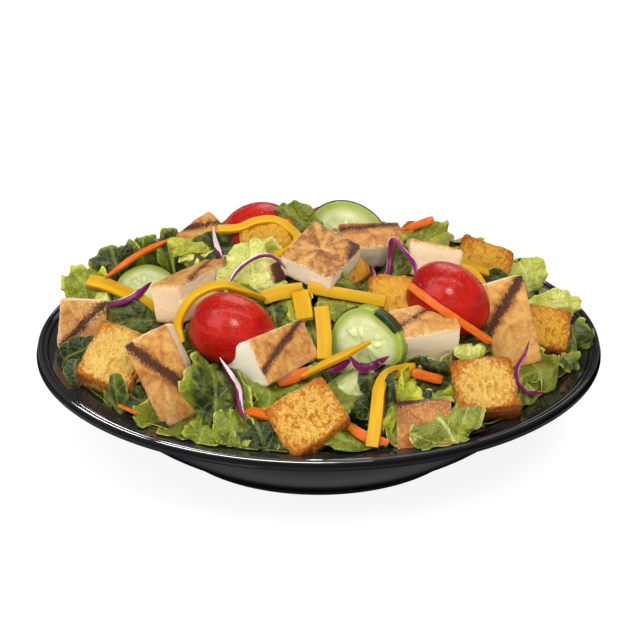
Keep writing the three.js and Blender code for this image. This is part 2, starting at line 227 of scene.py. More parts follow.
def ease(value, low, high, bottom=0.0, top=1.0):
    limits = {"Value": value, "From Min": low, "From Max": high, "To Min": bottom, "To Max": top}
    return put(value.id_data, "ShaderNodeMapRange", limits, interpolation_type="SMOOTHSTEP").outputs["Result"]


def blend(first, second, mask, strength=1):
    # goes from the first colour to the second where the mask is up
    share = mask if strength == 1 else times(mask, strength)
    colors = [color if isSocket(color) else (*color, 1) for color in (first, second)]
    inputs = {0: share, 6: colors[0], 7: colors[1]}  # the mask and the two colours of a colour mix
    return put(mask.id_data, "ShaderNodeMix", inputs, data_type="RGBA").outputs[2]


def readHome(tree):
    # where each point lay on its piece, so that patterns stay with the piece
    return put(tree, "ShaderNodeAttribute", attribute_name="home").outputs["Vector"]


def readValues(tree, *names):
    return [put(tree, "ShaderNodeAttribute", attribute_name=name).outputs["Fac"] for name in names]


def stretch(home, x, y, z):
    return put(home.id_data, "ShaderNodeMapping", {"Vector": home, "Scale": (x, y, z)}).outputs[0]


def noise(vector, scale, detail=2.0, roughness=0.5):
    inputs = {"Vector": vector, "Scale": scale, "Detail": detail, "Roughness": roughness}
    return put(vector.id_data, "ShaderNodeTexNoise", inputs).outputs["Fac"]


def skinOf(material):
    return material.node_tree.nodes["Principled BSDF"].inputs


def plainMaterial(name, **values):
    material = bpy.data.materials.new(name)
    material.use_nodes = True
    for key, value in values.items():
        skinOf(material)[key.replace("_", " ")].default_value = value
    return material


def foodMaterial(name, *reads, inside=None, **values):
    # inside: how much light enters, how far each colour gets, and the scale of that in metres
    material = plainMaterial(name, **values)
    for key, value in zip(("Weight", "Radius", "Scale"), inside or ()):
        skinOf(material)["Subsurface " + key].default_value = value
    return material, readHome(material.node_tree), *readValues(material.node_tree, *reads)


def dress(material, color, height=None, strength=1.0, distance=0.001):
    # gives a material its colour, and its relief from a height that is up to distance metres deep
    feed(skinOf(material)["Base Color"], color)
    if height:
        inputs = {"Strength": strength, "Distance": distance, "Height": height}
        feed(skinOf(material)["Normal"], put(material.node_tree, "ShaderNodeBump", inputs).outputs["Normal"])
    return material


def newGroup(name, place, values, results):
    # a shader node group with one vector and some values going in, and masks coming out
    group = bpy.data.node_groups.new(name, "ShaderNodeTree")
    group.interface.new_socket(name=place, in_out="INPUT", socket_type="NodeSocketVector")
    for label in values:
        group.interface.new_socket(name=label, in_out="INPUT", socket_type="NodeSocketFloat")
    for label in results:
        group.interface.new_socket(name=label, in_out="OUTPUT", socket_type="NodeSocketFloat")
    return group, group.nodes.new("NodeGroupInput").outputs, group.nodes.new("NodeGroupOutput").inputs


# an uneven patchwork, used by nearly every material here
def makeMottle():
    group, entry, leave = newGroup("mottle", "Vector", ("Size", "Low", "High"), ("Patch", "Fine"))
    scale = calc("DIVIDE", 1.0, entry["Size"])
    coarse = noise(entry["Vector"], scale, detail=3.0, roughness=0.6)
    fine = noise(entry["Vector"], times(scale, 4.0))
    feed(leave["Patch"], ease(coarse, entry["Low"], entry["High"]))
    feed(leave["Fine"], ease(fine, entry["Low"], entry["High"]))
    return group


mottle = makeMottle()


def mottled(vector, size, low, high):
    inputs = {"Vector": vector, "Size": size, "Low": low, "High": high}
    return put(vector.id_data, "ShaderNodeGroup", inputs, node_tree=mottle).outputs


# shape of the heap, the same as in the part's solids

heap = {"edgeHeight": 38, "rise": 36, "power": 2.1, "lean": 16, "reach": 98, "backFall": 45}
leafMounds = [
    (-84, 24, 17, 13), (-68, 30, 14, 13), (-94, 2, 11, 9), (-30, 44, 8, 16), (0, 26, 7, 12),
    (52, 30, 13, 12), (80, 32, 15, 12), (94, 2, 9, 10), (90, -38, 5, 10), (40, -84, 3, 10),
    (-42, -74, 5, 10), (24, 72, 5, 14), (-66, 58, 8, 13), (66, 60, 6, 12), (-14, 86, 5, 13),
]
bowlShape = {
    "lipRadius": 110, "height": 39.7, "footRadius": 59, "footBand": 3, "recess": 1.8, "wall": 0.9,
    "wallTopRadius": 97, "wallTopHeight": 35.5, "flangeLift": 1.6, "flangeRise": 1.7, "bead": 2.9,
    "turnSteps": 160,
}


def heapTop(x, y):
    out = np.minimum(np.hypot(x, y), heap["reach"]) / heap["reach"]
    fall = np.where(y > 0, np.exp(-((y / heap["backFall"]) ** 2)), 1)
    dome = heap["edgeHeight"] + heap["rise"] * (1 - out ** heap["power"])
    return dome + heap["lean"] * (y / heap["reach"]) * (1 - out**2) * fall


def heapSurface(x, y):
    total = heapTop(x, y)
    for atX, atY, height, spread in leafMounds:
        total = total + height * np.exp(-((x - atX) ** 2 + (y - atY) ** 2) / spread**2)
    return total


def flangeTop(radius):
    b = bowlShape
    along = np.clip((radius - b["wallTopRadius"]) / (b["lipRadius"] - b["bead"] - b["wallTopRadius"]), 0, 1)
    return b["wallTopHeight"] + b["flangeLift"] + b["flangeRise"] * along


def turnTo(facing, spin):
    bearing, pitch = math.radians(facing[0]), math.radians(facing[1])
    right = Vector((-math.sin(bearing), math.cos(bearing), 0))
    out = Vector((math.cos(pitch) * math.cos(bearing), math.cos(pitch) * math.sin(bearing), math.sin(pitch)))
    up = out.cross(right)
    basis = Matrix((right, up, out)).transposed()
    return np.array(basis @ Matrix.Rotation(math.radians(spin), 3, "Z"))


def restPlace(entry):
    # the third number of a piece's place is its height over the heap's dome
    x, y, lift = entry["at"]
    return np.array([x, y, float(heapTop(x, y)) + lift]), turnTo(entry["facing"], entry.get("spin", 0))


def place(piece, spots, entry):
    # puts the points of a piece where it lies
    middle, turn = restPlace(entry)
    setPoints(piece, (spots @ turn.T + middle) * mm)


# the bowl: a thin shell turned from one profile


def bowlCurve(inset, steps):
    b = bowlShape
    start = np.array([b["footRadius"] - inset, b["footBand"] + inset * 0.3])
    middle = np.array([b["footRadius"] + 24 - inset * 0.6, b["footBand"] + 10 + inset * 0.9])
    end = np.array([b["wallTopRadius"] - inset, b["wallTopHeight"] + inset * 0.4])
    share = np.linspace(0, 1, steps)[:, None]
    return (1 - share) ** 2 * start + 2 * share * (1 - share) * middle + share**2 * end


def bowlProfile():
    b = bowlShape
    foot, lip, top, wall, recess = b["footRadius"], b["lipRadius"], b["height"], b["wall"], b["recess"]
    bead = lip - b["bead"]
    under = [
        (0, recess), (foot - 5.2, recess), (foot - 4.6, recess - 0.3), (foot - 4.2, 0.4), (foot - 3.8, 0),
        (foot - 0.9, 0), (foot - 0.3, 0.25), (foot, 0.8),
    ]
    edge = flangeTop(bead) - wall
    skirt = [
        (bead - 1.6, edge - 0.4), (bead + 0.9, edge - 0.3), (lip - 1.1, top - 3.5), (lip - 0.7, top - 3.75),
        (lip - 0.2, top - 3.7), (lip, top - 3.45), (lip, top - 3.1), (lip - 0.2, top - 2.85),
        (lip - 0.35, top - 2.4), (lip - 0.45, top - 0.9),
    ]
    crests = []
    for middle, height, half in ((lip - 1.3, top, 0.8), (bead - 0.7, top - 0.75, 0.65)):
        for degrees in (10, 30, 50, 70, 90, 110, 130, 150, 170):
            angle = math.radians(degrees)
            crests.append((middle + half * math.cos(angle), height - half + half * math.sin(angle)))
        crests.append((middle - half - 0.25, height - half - 0.5))
    flange = [(radius, flangeTop(radius)) for radius in (105, 103, 101, 98.6)]
    shoulder = [(97.4, flangeTop(97) - 0.15), (96.6, flangeTop(97) - 0.6)]
    floor = [
        (foot - 2.4, wall + 0.2), (foot - 3.6, wall + 0.1), (foot - 5, recess + wall), (0, recess + wall),
    ]
    inside = bowlCurve(wall, 16)[-2::-1]
    return [*under, *bowlCurve(0, 16), *skirt, *crests, *flange, *shoulder, *inside, *floor]


def makeBowl(material):
    # one point drawn out along the profile, then spun about the middle
    deselectAll()
    profile = bowlProfile()
    bpy.ops.mesh.primitive_plane_add(size=0.01)
    bowl = bpy.context.object
    bpy.ops.object.mode_set(mode="EDIT")
    bpy.ops.mesh.merge(type="CENTER")
    bpy.ops.transform.translate(value=(profile[0][0] * mm, 0, profile[0][1] * mm))
    for before, after in zip(profile, profile[1:]):
        step = ((after[0] - before[0]) * mm, 0, (after[1] - before[1]) * mm)
        bpy.ops.mesh.extrude_region_move(TRANSFORM_OT_translate={"value": step})
    bpy.ops.mesh.select_all(action="SELECT")
    bpy.ops.mesh.spin(steps=bowlShape["turnSteps"], angle=2 * math.pi, center=(0, 0, 0), axis=(0, 0, 1))
    bpy.ops.mesh.select_all(action="SELECT")
    bpy.ops.mesh.remove_doubles(threshold=0.00002)
    bpy.ops.mesh.normals_make_consistent(inside=False)
    bpy.ops.object.mode_set(mode="OBJECT")
    finishPiece(bowl, "bowl_shell", material, ["bowl"], smoothAngle=50)
    return bowl


def bowlMaterial():
    black = (0.0018, 0.0018, 0.002, 1)
    return plainMaterial("glossBlackPlastic", Base_Color=black, Roughness=0.05, Specular_IOR_Level=0.35)


makeBowl(bowlMaterial())
print("bowl made")

# chicken and croutons: hand-cut blocks

chickenLook = {"bevel": 0.9, "voxel": 0.62, "smoothing": 3, "warp": 0.55, "barDepth": 0.35}
chickenBlocks = {
    "chicken_01": dict(at=(-91, -8, 5), facing=(-80, 20), spin=-8, size=(18, 20, 8), wedge=0.1,
        bar=(49, 0.2, 1.5), brown=0.25),
    "chicken_02": dict(at=(-57, -63, 6), facing=(-108, 18), spin=32, size=(19, 35, 10), lean=(1, 0),
        bar=(-59, 2.1, 2.1), brown=0.3),
    "chicken_03": dict(at=(-49, -15, 10), facing=(140, 76), spin=5, size=(34, 13, 15), wedge=0.15,
        bar=(20, 3.5, 1.0), white=0, brown=0.2),
    "chicken_04": dict(at=(1, -16, 12), facing=(-82, 66), spin=-40, size=(22, 22.5, 10), lean=(0, 1),
        bar=(-63, 12.5, 2.2), seared=1, white=0.5, brown=0.25),
    "chicken_05": dict(at=(-12, -62, 8), facing=(-48, 33), spin=5, size=(27, 17, 20), wedge=-0.15,
        bar=(23, 2.0, 1.4), white=1, brown=0.2),
    "chicken_06": dict(at=(39, -45, 10), facing=(-80, 70), spin=10, size=(24, 16, 19), lean=(1, 1),
        bar=(24, 3.0, 1.0), white=0.5),
    "chicken_07": dict(at=(72, -30, 8), facing=(-78, 22), spin=9, size=(18.5, 34, 9), lean=(1, 0),
        bar=(46, 5.4, 2.2)),
    "chicken_08": dict(at=(-45, 18, 7), facing=(-100, 50), spin=46, size=(16.5, 16.5, 10), lean=(1, 0),
        bar=(-32, 4.9, 1.5)),
    "chicken_09": dict(at=(21, 2, 9), facing=(-70, 60), spin=-8, size=(25, 12, 14), lean=(-2, 0),
        bar=(6, 3.9, 1.3), white=0.5, brown=0.4),
    "chicken_10": dict(at=(45, 1, 11), facing=(60, 66), spin=33, size=(21, 12, 14), wedge=0.2, white=0.15),
    "chicken_11": dict(at=(38, -87, 5), facing=(-95, 48), spin=6, size=(20, 19, 9), wedge=-0.1,
        bar=(8, 9, 1.2), brown=0.95),
    "chicken_12": dict(at=(-15, -18, 5), facing=(-60, 20), spin=10, size=(6, 8, 7), bar=(80, 0, 3)),
    "chicken_13": dict(at=(-26, 64, 6), facing=(110, 48), spin=20, size=(26, 19, 14), wedge=0.1,
        bar=(35, 2, 1.8)),
}

croutonLook = {"bevel": 2.2, "voxel": 0.5, "smoothing": 2, "warp": 0.9, "crumb": 0.36, "pit": 0.75}
croutonBlocks = {
    "crouton_01": dict(at=(-77, -45, 8), facing=(-108, 45), spin=-12, size=(23.5, 24, 15), lean=(1, 1),
        fried=0),
    "crouton_02": dict(at=(-4, -91, 7.5), facing=(-92, 42), spin=36, size=(25, 22, 15), wedge=-0.1,
        fried=0.4, blots=1.3),
    "crouton_03": dict(at=(61, -67, 8), facing=(-85, 48), spin=3, size=(23.5, 22.5, 16), lean=(-1, 0),
        fried=0.1, toast=1.5, edging=0.12, blots=0.5),
    "crouton_04": dict(at=(87, -16, 6), facing=(-70, 40), spin=-22, size=(21, 18, 14), wedge=0.15,
        blots=0.9, edging=0.06),
    "crouton_05": dict(at=(65, 17, 5), facing=(-85, 35), spin=-19, size=(22, 18, 14), wedge=-0.2,
        edging=0.1, blots=0.5),
    "crouton_06": dict(at=(-20, 2, 8), facing=(-95, 52), spin=8, size=(22, 15, 12), wedge=0.2),
    "crouton_07": dict(at=(29, -28, 4), facing=(-88, 50), spin=-5, size=(21, 17, 13), lean=(0, 2)),
    "crouton_08": dict(at=(13, -12, 2), facing=(-60, 40), spin=20, size=(15, 13, 10), wedge=0.1),
    "crouton_09": dict(at=(44, 64, 5), facing=(75, 45), spin=25, size=(22, 21, 16), lean=(1, 0)),
}


def roughBlock(entry, look, seed):
    # a cube at its size, its corners pulled out of true, bevelled, given an even fine mesh and softened
    length, width, thickness = entry["size"]
    lean, wedge = entry.get("lean", (0, 0)), entry.get("wedge", 0)
    deselectAll()
    bpy.ops.mesh.primitive_cube_add(size=1)
    block = bpy.context.object
    bpy.ops.object.mode_set(mode="EDIT")
    bpy.ops.transform.resize(value=(length * mm, width * mm, thickness * mm))
    bpy.ops.mesh.subdivide(number_cuts=2)
    bpy.ops.object.mode_set(mode="OBJECT")
    spots = points(block) / mm
    level = spots[:, 2] / thickness
    spots[:, 1] *= 1 + wedge * spots[:, 0] / length
    spots[:, 0] += lean[0] * level
    spots[:, 1] += lean[1] * level
    for axis in range(3):
        spots[:, axis] += look["warp"] * noiseAt(spots, 14, seed + axis)
    spots[:, 2] -= thickness / 2
    setPoints(block, spots * mm)
    bevelEdges(block, look["bevel"], 2, 35)
    applyModifier(block, "REMESH", mode="VOXEL", voxel_size=look["voxel"] * mm)
    applyModifier(block, "SMOOTH", factor=0.5, iterations=look["smoothing"])
    return block


def barDistance(spots, angle, offset, half):
    # how far each point is outside a grill bar, at most 9
    across = -math.sin(math.radians(angle)) * spots[:, 0] + math.cos(math.radians(angle)) * spots[:, 1]
    return np.minimum(9.0, np.abs(across - offset) - half)


def makeChicken(name, entry, material, seed):
    block = roughBlock(entry, chickenLook, seed)
    spots = points(block) / mm
    facing = points(block, "normal")
    depth = np.minimum(-spots[:, 2], spots[:, 2] + entry["size"][2])
    bar = barDistance(spots, *entry.get("bar", (0, 99, 0))) + 0.35 + 0.6 * noiseAt(spots, 3.0, seed)
    grilled = smoothStep(1.6, 0.2, depth)
    bumps = 0.22 * noiseAt(spots, 3.0, seed) + 0.12 * noiseAt(spots, 1.3, seed + 2)
    grain = 0.14 * noiseAt(spots * np.array([0.5, 1, 1]), 1.1, seed + 3) + 0.3 * noiseAt(spots, 6, seed + 4)
    sunk = chickenLook["barDepth"] * smoothStep(0.4, -0.8, bar)
    looks = {"seared": 0, "brown": 0, "white": 0.3}
    setValues(block, home=spots, depth=depth, bar=bar, **{key: entry.get(key, looks[key]) for key in looks})
    place(block, spots + facing * (grilled * (bumps - sunk) + (1 - grilled) * grain)[:, None], entry)
    finishPiece(block, name + "_chunk", material, [name])


def makeCrouton(name, entry, material, seed):
    block = roughBlock(entry, croutonLook, seed)
    spots = points(block) / mm
    facing = points(block, "normal")
    half = np.array(entry["size"]) / 2
    share = np.sort(np.abs(spots + np.array([0, 0, half[2]])) / half, axis=1)
    crumb = croutonLook["crumb"] * (noiseAt(spots, 2.4, seed) + 0.6 * noiseAt(spots, 1.2, seed + 1))
    hole = noiseAt(spots * np.array([1.5, 0.7, 1]), 1.4, seed + 2)
    pits = croutonLook["pit"] * smoothStep(0.4, 0.8, hole)
    # painted shade: the lower side of each crouton is darkened toward toasted brown and crust through its rim
    # value, as if shaded from the light above
    below = entry.get("toast", 0.5) * smoothStep(0.72, 1.0, -spots[:, 1] / half[1])
    rim = share[:, 1] + 0.5 * (share[:, 0] - 0.5) + below + entry.get("edging", 0)
    setValues(block, home=spots, rim=rim, pit=smoothStep(0.4, 0.75, hole))
    setValues(block, fried=entry.get("fried", 0.9), blots=entry.get("blots", 0.35))
    place(block, spots + facing * (crumb - pits)[:, None], entry)
    finishPiece(block, name + "_cube", material, [name])


chickenColors = {
    "gold": (0.73, 0.405, 0.112), "tan": (0.57, 0.245, 0.050), "toasted": (0.36, 0.115, 0.024),
    "burnt": (0.15, 0.045, 0.016), "bar": (0.042, 0.010, 0.005), "ember": (0.17, 0.048, 0.02),
    "flesh": (1.0, 0.65, 0.37), "pale": (1.0, 0.79, 0.52), "white": (1.0, 0.94, 0.76),
}


def chickenMaterial():
    c = chickenColors
    material, home, depth, bar, seared, white, extra = foodMaterial(
        "grilledChicken", "depth", "bar", "seared", "white", "brown", inside=(0.1, (1.0, 0.5, 0.3), 0.0012),
        Specular_IOR_Level=0.35,
    )
    browned = mottled(home, 7.0, 0.36, 0.66)["Patch"]
    spots = mottled(home, 2.6, 0.38, 0.64)
    specks = mottled(home, 0.8, 0.45, 0.70)
    halo = times(ease(bar, 3.2, 0.2), 0.55)  # browner beside a bar
    brown = plus(times(browned, 0.75), halo, extra, swing(spots["Patch"], 0.7))
    crust = blend(c["gold"], c["tan"], ease(brown, -0.3, 0.9))
    crust = blend(crust, c["toasted"], ease(brown, 0.6, 1.5))
    crust = blend(crust, c["gold"], specks["Patch"], 0.15)
    burnt = times(mottled(home, 4.2, 0.42, 0.60)["Patch"], plus(times(spots["Fine"], 0.5), 0.6))
    crust = blend(crust, c["burnt"], times(burnt, seared), 0.85)
    grain = mottled(stretch(home, 0.35, 1, 1), 1.0, 0.38, 0.62)
    flesh = blend(c["flesh"], c["pale"], grain["Patch"], 0.8)
    flesh = blend(flesh, c["white"], white, 0.85)
    flesh = blend(flesh, c["gold"], ease(depth, 3.0, 0.8), 0.35)
    color = blend(flesh, crust, ease(plus(depth, swing(spots["Fine"], 0.8)), 1.1, 0.35))
    ragged = plus(swing(specks["Patch"], 0.9), swing(spots["Fine"], 0.9))
    barShare = times(ease(plus(bar, ragged), 0.6, -0.9), ease(depth, 2.0, 0.5))
    color = blend(color, blend(c["bar"], c["ember"], specks["Fine"], 0.55), barShare, 0.95)
    feed(skinOf(material)["Roughness"], ease(spots["Fine"], 0, 1, 0.42, 0.62))
    return dress(material, color, plus(times(grain["Fine"], 0.6), times(specks["Fine"], 0.7)), 0.6, 0.0004)


croutonColors = {
    "crumb": (0.75, 0.53, 0.155), "golden": (0.71, 0.345, 0.014), "toasted": (0.47, 0.135, 0.007),
    "crust": (0.12, 0.026, 0.005), "pore": (0.44, 0.13, 0.010), "herb": (0.07, 0.04, 0.012),
}


def croutonMaterial():
    c = croutonColors
    material, home, rim, pit, fried, blotting = foodMaterial(
        "toastedBread", "rim", "pit", "fried", "blots", inside=(0.08, (1.0, 0.2, 0.1), 0.001),
        Roughness=0.6, Specular_IOR_Level=0.2,
    )
    patches = mottled(home, 4.5, 0.35, 0.65)
    drawn = stretch(home, 1.5, 0.8, 1.0)
    pores = mottled(drawn, 0.8, 0.57, 0.64)["Patch"]
    ripple = mottled(drawn, 1.5, 0.36, 0.64)
    herbs = mottled(home, 0.9, 0.645, 0.69)["Patch"]
    blots = mottled(home, 2.4, 0.50, 0.66)
    color = blend(c["crumb"], c["golden"], patches["Patch"], 0.35)
    color = blend(color, c["golden"], ripple["Patch"], 0.3)
    color = blend(color, c["golden"], fried, 0.85)
    blotted = plus(times(blots["Patch"], 0.8), times(blots["Fine"], 0.4))
    color = blend(color, c["toasted"], times(blotted, blotting))
    edge = plus(rim, swing(patches["Fine"], 0.3))
    # the rim value holds the crust edges and also the painted shade on each crouton's lower side
    color = blend(color, c["toasted"], ease(edge, 0.56, 1.06))
    color = blend(color, c["crust"], ease(edge, 1.02, 1.4), 0.85)
    color = blend(color, c["pore"], pores, 0.55)
    color = blend(color, c["pore"], pit, 0.45)
    height = plus(minus(ripple["Patch"], times(pores, 1.2)), times(ripple["Fine"], 0.4))
    return dress(material, blend(color, c["herb"], herbs, 0.7), height, 0.7, 0.0005)


makeAll(makeChicken, chickenBlocks, chickenMaterial(), 1, "chicken")
makeAll(makeCrouton, croutonBlocks, croutonMaterial(), 31, "croutons")

# tomatoes: small plum tomatoes, whole

tomatoLook = {
    "length": 33, "diameter": 27, "fullness": 0.07, "uneven": 0.018, "dimple": 1.6, "dimpleWidth": 0.22,
    "segments": 64, "rings": 40,
}
tomatoPlaces = {
    "tomato_01": dict(at=(-32, -50, 8), facing=(-90, 24), spin=-16),
    "tomato_02": dict(at=(49, -29, 8), facing=(-90, 24), spin=-30),
    "tomato_03": dict(at=(-24, 16, 3), facing=(-90, 24), spin=24, scale=0.91),
    "tomato_04": dict(at=(6, 82, 0), facing=(90, 40), spin=25, scale=0.98),
}


def makeTomato(name, entry, material, seed):
    # a ball drawn out along its length, fuller at one end, dimpled where the stalk was
    deselectAll()
    turn = (0, math.pi / 2, 0)
    bpy.ops.mesh.primitive_uv_sphere_add(
        segments=tomatoLook["segments"], ring_count=tomatoLook["rings"], radius=1, rotation=turn
    )
    ball = bpy.context.object
    bpy.ops.object.transform_apply(location=True, rotation=True, scale=True)
    spots = points(ball)
    scale = entry.get("scale", 1)
    full = 1 - tomatoLook["fullness"] * spots[:, 0]
    away = np.hypot(spots[:, 1], spots[:, 2])
    stalk = np.where(spots[:, 0] < 0, np.exp(-((away / tomatoLook["dimpleWidth"]) ** 2)), 0)
    wave = 1 + tomatoLook["uneven"] * noiseAt(spots, 0.9, seed)
    spots[:, 0] = spots[:, 0] * tomatoLook["length"] * scale / 2 * wave + tomatoLook["dimple"] * stalk
    spots[:, 1:] *= (tomatoLook["diameter"] * scale / 2 * full * wave)[:, None]
    setValues(ball, home=spots, stalk=stalk)
    place(ball, spots, entry)
    finishPiece(ball, name + "_fruit", material, [name])


def tomatoMaterial():
    material, home, stalk = foodMaterial(
        "tomatoSkin", "stalk", inside=(0.15, (1.0, 0.15, 0.08), 0.003),
        Roughness=0.2, Specular_IOR_Level=0.22, Coat_Weight=0.04, Coat_Roughness=0.08,
    )
    dots = mottled(home, 1.1, 0.5, 0.66)["Patch"]
    color = blend((0.29, 0.004, 0.003), (0.43, 0.010, 0.004), mottled(home, 14.0, 0.35, 0.65)["Patch"])
    color = blend(color, (0.75, 0.07, 0.03), dots, 0.12)
    return dress(material, blend(color, (0.30, 0.10, 0.02), stalk, 0.8), dots, 0.4, 0.0002)


makeAll(makeTomato, tomatoPlaces, tomatoMaterial(), 51, "tomatoes")

# cucumber slices, peeled in stripes

cucumberLook = {
    "thickness": 6, "waviness": 0.025, "bevel": 0.5, "segments": 96, "rings": 22, "ringShare": 0.0435,
    "seeds": 11, "seedRing": 0.42, "seedLength": 2.7, "seedWidth": 1.25, "seedHeight": 0.3, "peelFade": 6,
}
cucumberPlaces = {
    "cucumber_01": dict(at=(17, -53, 2), facing=(-113, 12), radius=14.5, rind=[(54, 25), (135, 30)],
        peel=(54, 31)),
    "cucumber_02": dict(at=(10, 14, -2), facing=(-90, 22), radius=17, rind=[(90, 75)]),
    "cucumber_03": dict(at=(-68, 6, -1), facing=(-105, 60), radius=13, rind=[(90, 90)]),
    "cucumber_04": dict(at=(11, -70, -2), facing=(-158, 52), radius=12.5, rind=[(20, 160)]),
    "cucumber_05": dict(at=(-58, 62, 3), facing=(140, 50), radius=19, rind=[(60, 50), (-100, 60)]),
}


def offAngle(turn, middle):
    # degrees between each direction and a middle one
    return np.abs((np.degrees(turn) - middle + 180) % 360 - 180)


def cucumberSeeds(spots, radius, seed):
    # 1 in the middle of a seed, 0 outside; the seeds lie in an uneven ring
    seeds = np.zeros(len(spots))
    for number in range(cucumberLook["seeds"]):
        angle = number * 2 * math.pi / cucumberLook["seeds"] + 0.35 * math.sin(seed * 3 + number * 2.1)
        distance = cucumberLook["seedRing"] + 0.07 * math.sin(seed + number * 4.3)
        along = spots[:, 0] * math.cos(angle) + spots[:, 1] * math.sin(angle) - distance * radius
        across = -spots[:, 0] * math.sin(angle) + spots[:, 1] * math.cos(angle)
        inside = 1 - np.hypot(along / cucumberLook["seedLength"], across / cucumberLook["seedWidth"])
        seeds = np.maximum(seeds, np.clip(inside, 0, 1))
    return seeds


def makeCucumber(name, entry, material, seed):
    # a disc whose cut faces are inset into rings, with the seeds raised in it
    radius, thickness = entry["radius"], cucumberLook["thickness"]
    deselectAll()
    corners = cucumberLook["segments"]
    bpy.ops.mesh.primitive_cylinder_add(vertices=corners, radius=radius * mm, depth=thickness * mm)
    disc = bpy.context.object
    bevelEdges(disc, cucumberLook["bevel"], 3, 50)
    bpy.ops.object.mode_set(mode="EDIT")
    bpy.ops.mesh.select_mode(type="FACE")
    for _ in range(cucumberLook["rings"]):
        bpy.ops.mesh.select_all(action="DESELECT")
        bpy.ops.object.mode_set(mode="OBJECT")
        for face in disc.data.polygons:
            face.select = len(face.vertices) > 8
        bpy.ops.object.mode_set(mode="EDIT")
        bpy.ops.mesh.inset(thickness=radius * mm * cucumberLook["ringShare"], depth=0)
    bpy.ops.mesh.select_all(action="SELECT")
    bpy.ops.mesh.quads_convert_to_tris()
    bpy.ops.object.mode_set(mode="OBJECT")
    spots = points(disc) / mm
    turn = np.arctan2(spots[:, 1], spots[:, 0])
    share = np.hypot(spots[:, 0], spots[:, 1]) / radius
    seeds = cucumberSeeds(spots, radius, seed)
    wet = 0.25 * noiseAt(spots, 5, seed) + 0.1 * noiseAt(spots, 1.6, seed)
    soft = 0.5 * smoothStep(0.7, 0.3, share) * (0.5 + 0.5 * np.cos(3 * turn + seed))
    onFace = np.abs(spots[:, 2]) > thickness / 2 - 0.3
    lift = np.where(onFace, wet - soft + cucumberLook["seedHeight"] * np.minimum(seeds * 2.5, 1), 0)
    if "peel" in entry:  # skin left on a corner of the cut face too
        off = offAngle(turn, entry["peel"][0]) / entry["peel"][1]
        share = np.where(share > 0.6, share + 0.3 * np.clip(1 - off**2, 0, 1) ** 0.6 * share**4, share)
    rind = np.zeros(len(spots))
    for middle, half in entry["rind"]:
        beyond = (half - offAngle(turn, middle)) / cucumberLook["peelFade"]
        rind = np.maximum(rind, np.clip(beyond + 0.5, 0, 1))
    home = np.c_[spots[:, :2] / radius, spots[:, 2] / thickness]
    setValues(disc, home=home, share=share, seed=seeds, rind=rind)
    spots[:, 2] += np.sign(spots[:, 2]) * lift - thickness / 2
    spots[:, :2] *= (1 + cucumberLook["waviness"] * np.cos(3 * turn))[:, None]
    place(disc, spots, entry)
    finishPiece(disc, name + "_slice", material, [name], smoothAngle=40)


def cucumberMaterial():
    material, home, share, seed, rind = foodMaterial(
        "cucumberFlesh", "share", "seed", "rind", inside=(0.25, (0.8, 1.0, 0.4), 0.002),
        Roughness=0.28, Specular_IOR_Level=0.35, Coat_Weight=0.12, Coat_Roughness=0.2,
    )
    patches = mottled(home, 0.28, 0.35, 0.65)
    color = blend((0.51, 0.55, 0.23), (0.61, 0.63, 0.36), patches["Patch"])
    color = blend(color, (0.60, 0.68, 0.24), ease(share, 0.62, 0.30), 0.35)
    color = blend(color, (0.28, 0.345, 0.045), ease(share, 0.66, 0.91))
    outline = times(ease(seed, 0.02, 0.2), ease(seed, 0.55, 0.3))
    color = blend(color, (0.48, 0.56, 0.16), outline, 0.25)
    color = blend(color, (0.80, 0.83, 0.54), ease(seed, 0.35, 0.6), 0.5)
    bare = blend((0.17, 0.27, 0.02), (0.34, 0.42, 0.06), patches["Fine"])
    skinSpots = mottled(home, 0.16, 0.4, 0.7)
    green = blend((0.006, 0.022, 0.005), (0.022, 0.062, 0.012), skinSpots["Patch"])
    outside = blend(bare, green, ease(plus(rind, swing(skinSpots["Fine"], 0.5)), 0.35, 0.65))
    return dress(material, blend(color, outside, ease(share, 0.955, 0.975)), skinSpots["Fine"], 0.25, 0.0003)


makeAll(makeCucumber, cucumberPlaces, cucumberMaterial(), 61, "cucumber")

# shreds of cheese, carrot and cabbage

towardsFront = (0, -0.9, 0.4)  # where the broad side of a shred faces, unless its line says otherwise
upAndFront = (0, -0.5, 0.85)
cheeseLook = {
    "width": 5.5, "thickness": 1.7, "round": 0.12, "uneven": 0.03, "step": 0.9, "ends": 0.94, "taper": 0.1,
}
cheeseStrips = {
    "cheese_01": dict(points=[(-51, -52, 60), (-52, -48, 66), (-48, -46, 74), (-42, -44, 78),
        (-35, -42, 79), (-28, -38, 75), (-21, -31, 69)], face=(-0.4, -0.5, 0.8), width=3.6),
    "cheese_02": dict(points=[(-39, 4, 83), (-31, 5, 83), (-24, 6, 85.5), (-17, 7, 85.5), (-11, 4, 83),
        (-8, -4, 82), (-11, -10, 80), (-17, -8, 77)], face=upAndFront, width=3.4),
    "cheese_03": dict(points=[(-21, -29, 68), (-14, -28, 70), (-6, -27, 71)], twist=30),
    "cheese_04": dict(points=[(-4, -25, 71), (4, -27, 70), (14, -29, 69), (25, -32, 68)], width=4.5),
    "cheese_05": dict(points=[(-7, -30, 71), (-6, -36, 68), (-5, -42, 65)], width=6.5),
    "cheese_06": dict(points=[(1, -42, 70), (2, -50, 63), (2, -58, 56)]),
    "cheese_07": dict(points=[(19, -58, 63), (10, -60, 59), (1, -66, 57), (-6, -69, 54)], face=(0, 0, 1),
        width=4, ends=0.35, taper=14),
    "cheese_08": dict(points=[(35, -62, 54), (30, -66, 55), (25, -72, 56), (22, -79, 54), (21, -86, 50),
        (20, -92, 44), (19, -96, 39)], face=(-0.3, -0.9, 0.3), width=4.8),
    "cheese_09": dict(points=[(-90, 8, 60), (-82, 5, 59), (-72, -4, 58), (-62, -14, 57)], face=upAndFront),
    "cheese_10": dict(points=[(47, 6, 73), (56, 4, 68), (66, 8, 63)], face=upAndFront, width=3.5),
    "cheese_11": dict(points=[(54, -14, 74), (59, -16, 72), (63, -22, 67)], width=4.5),
}
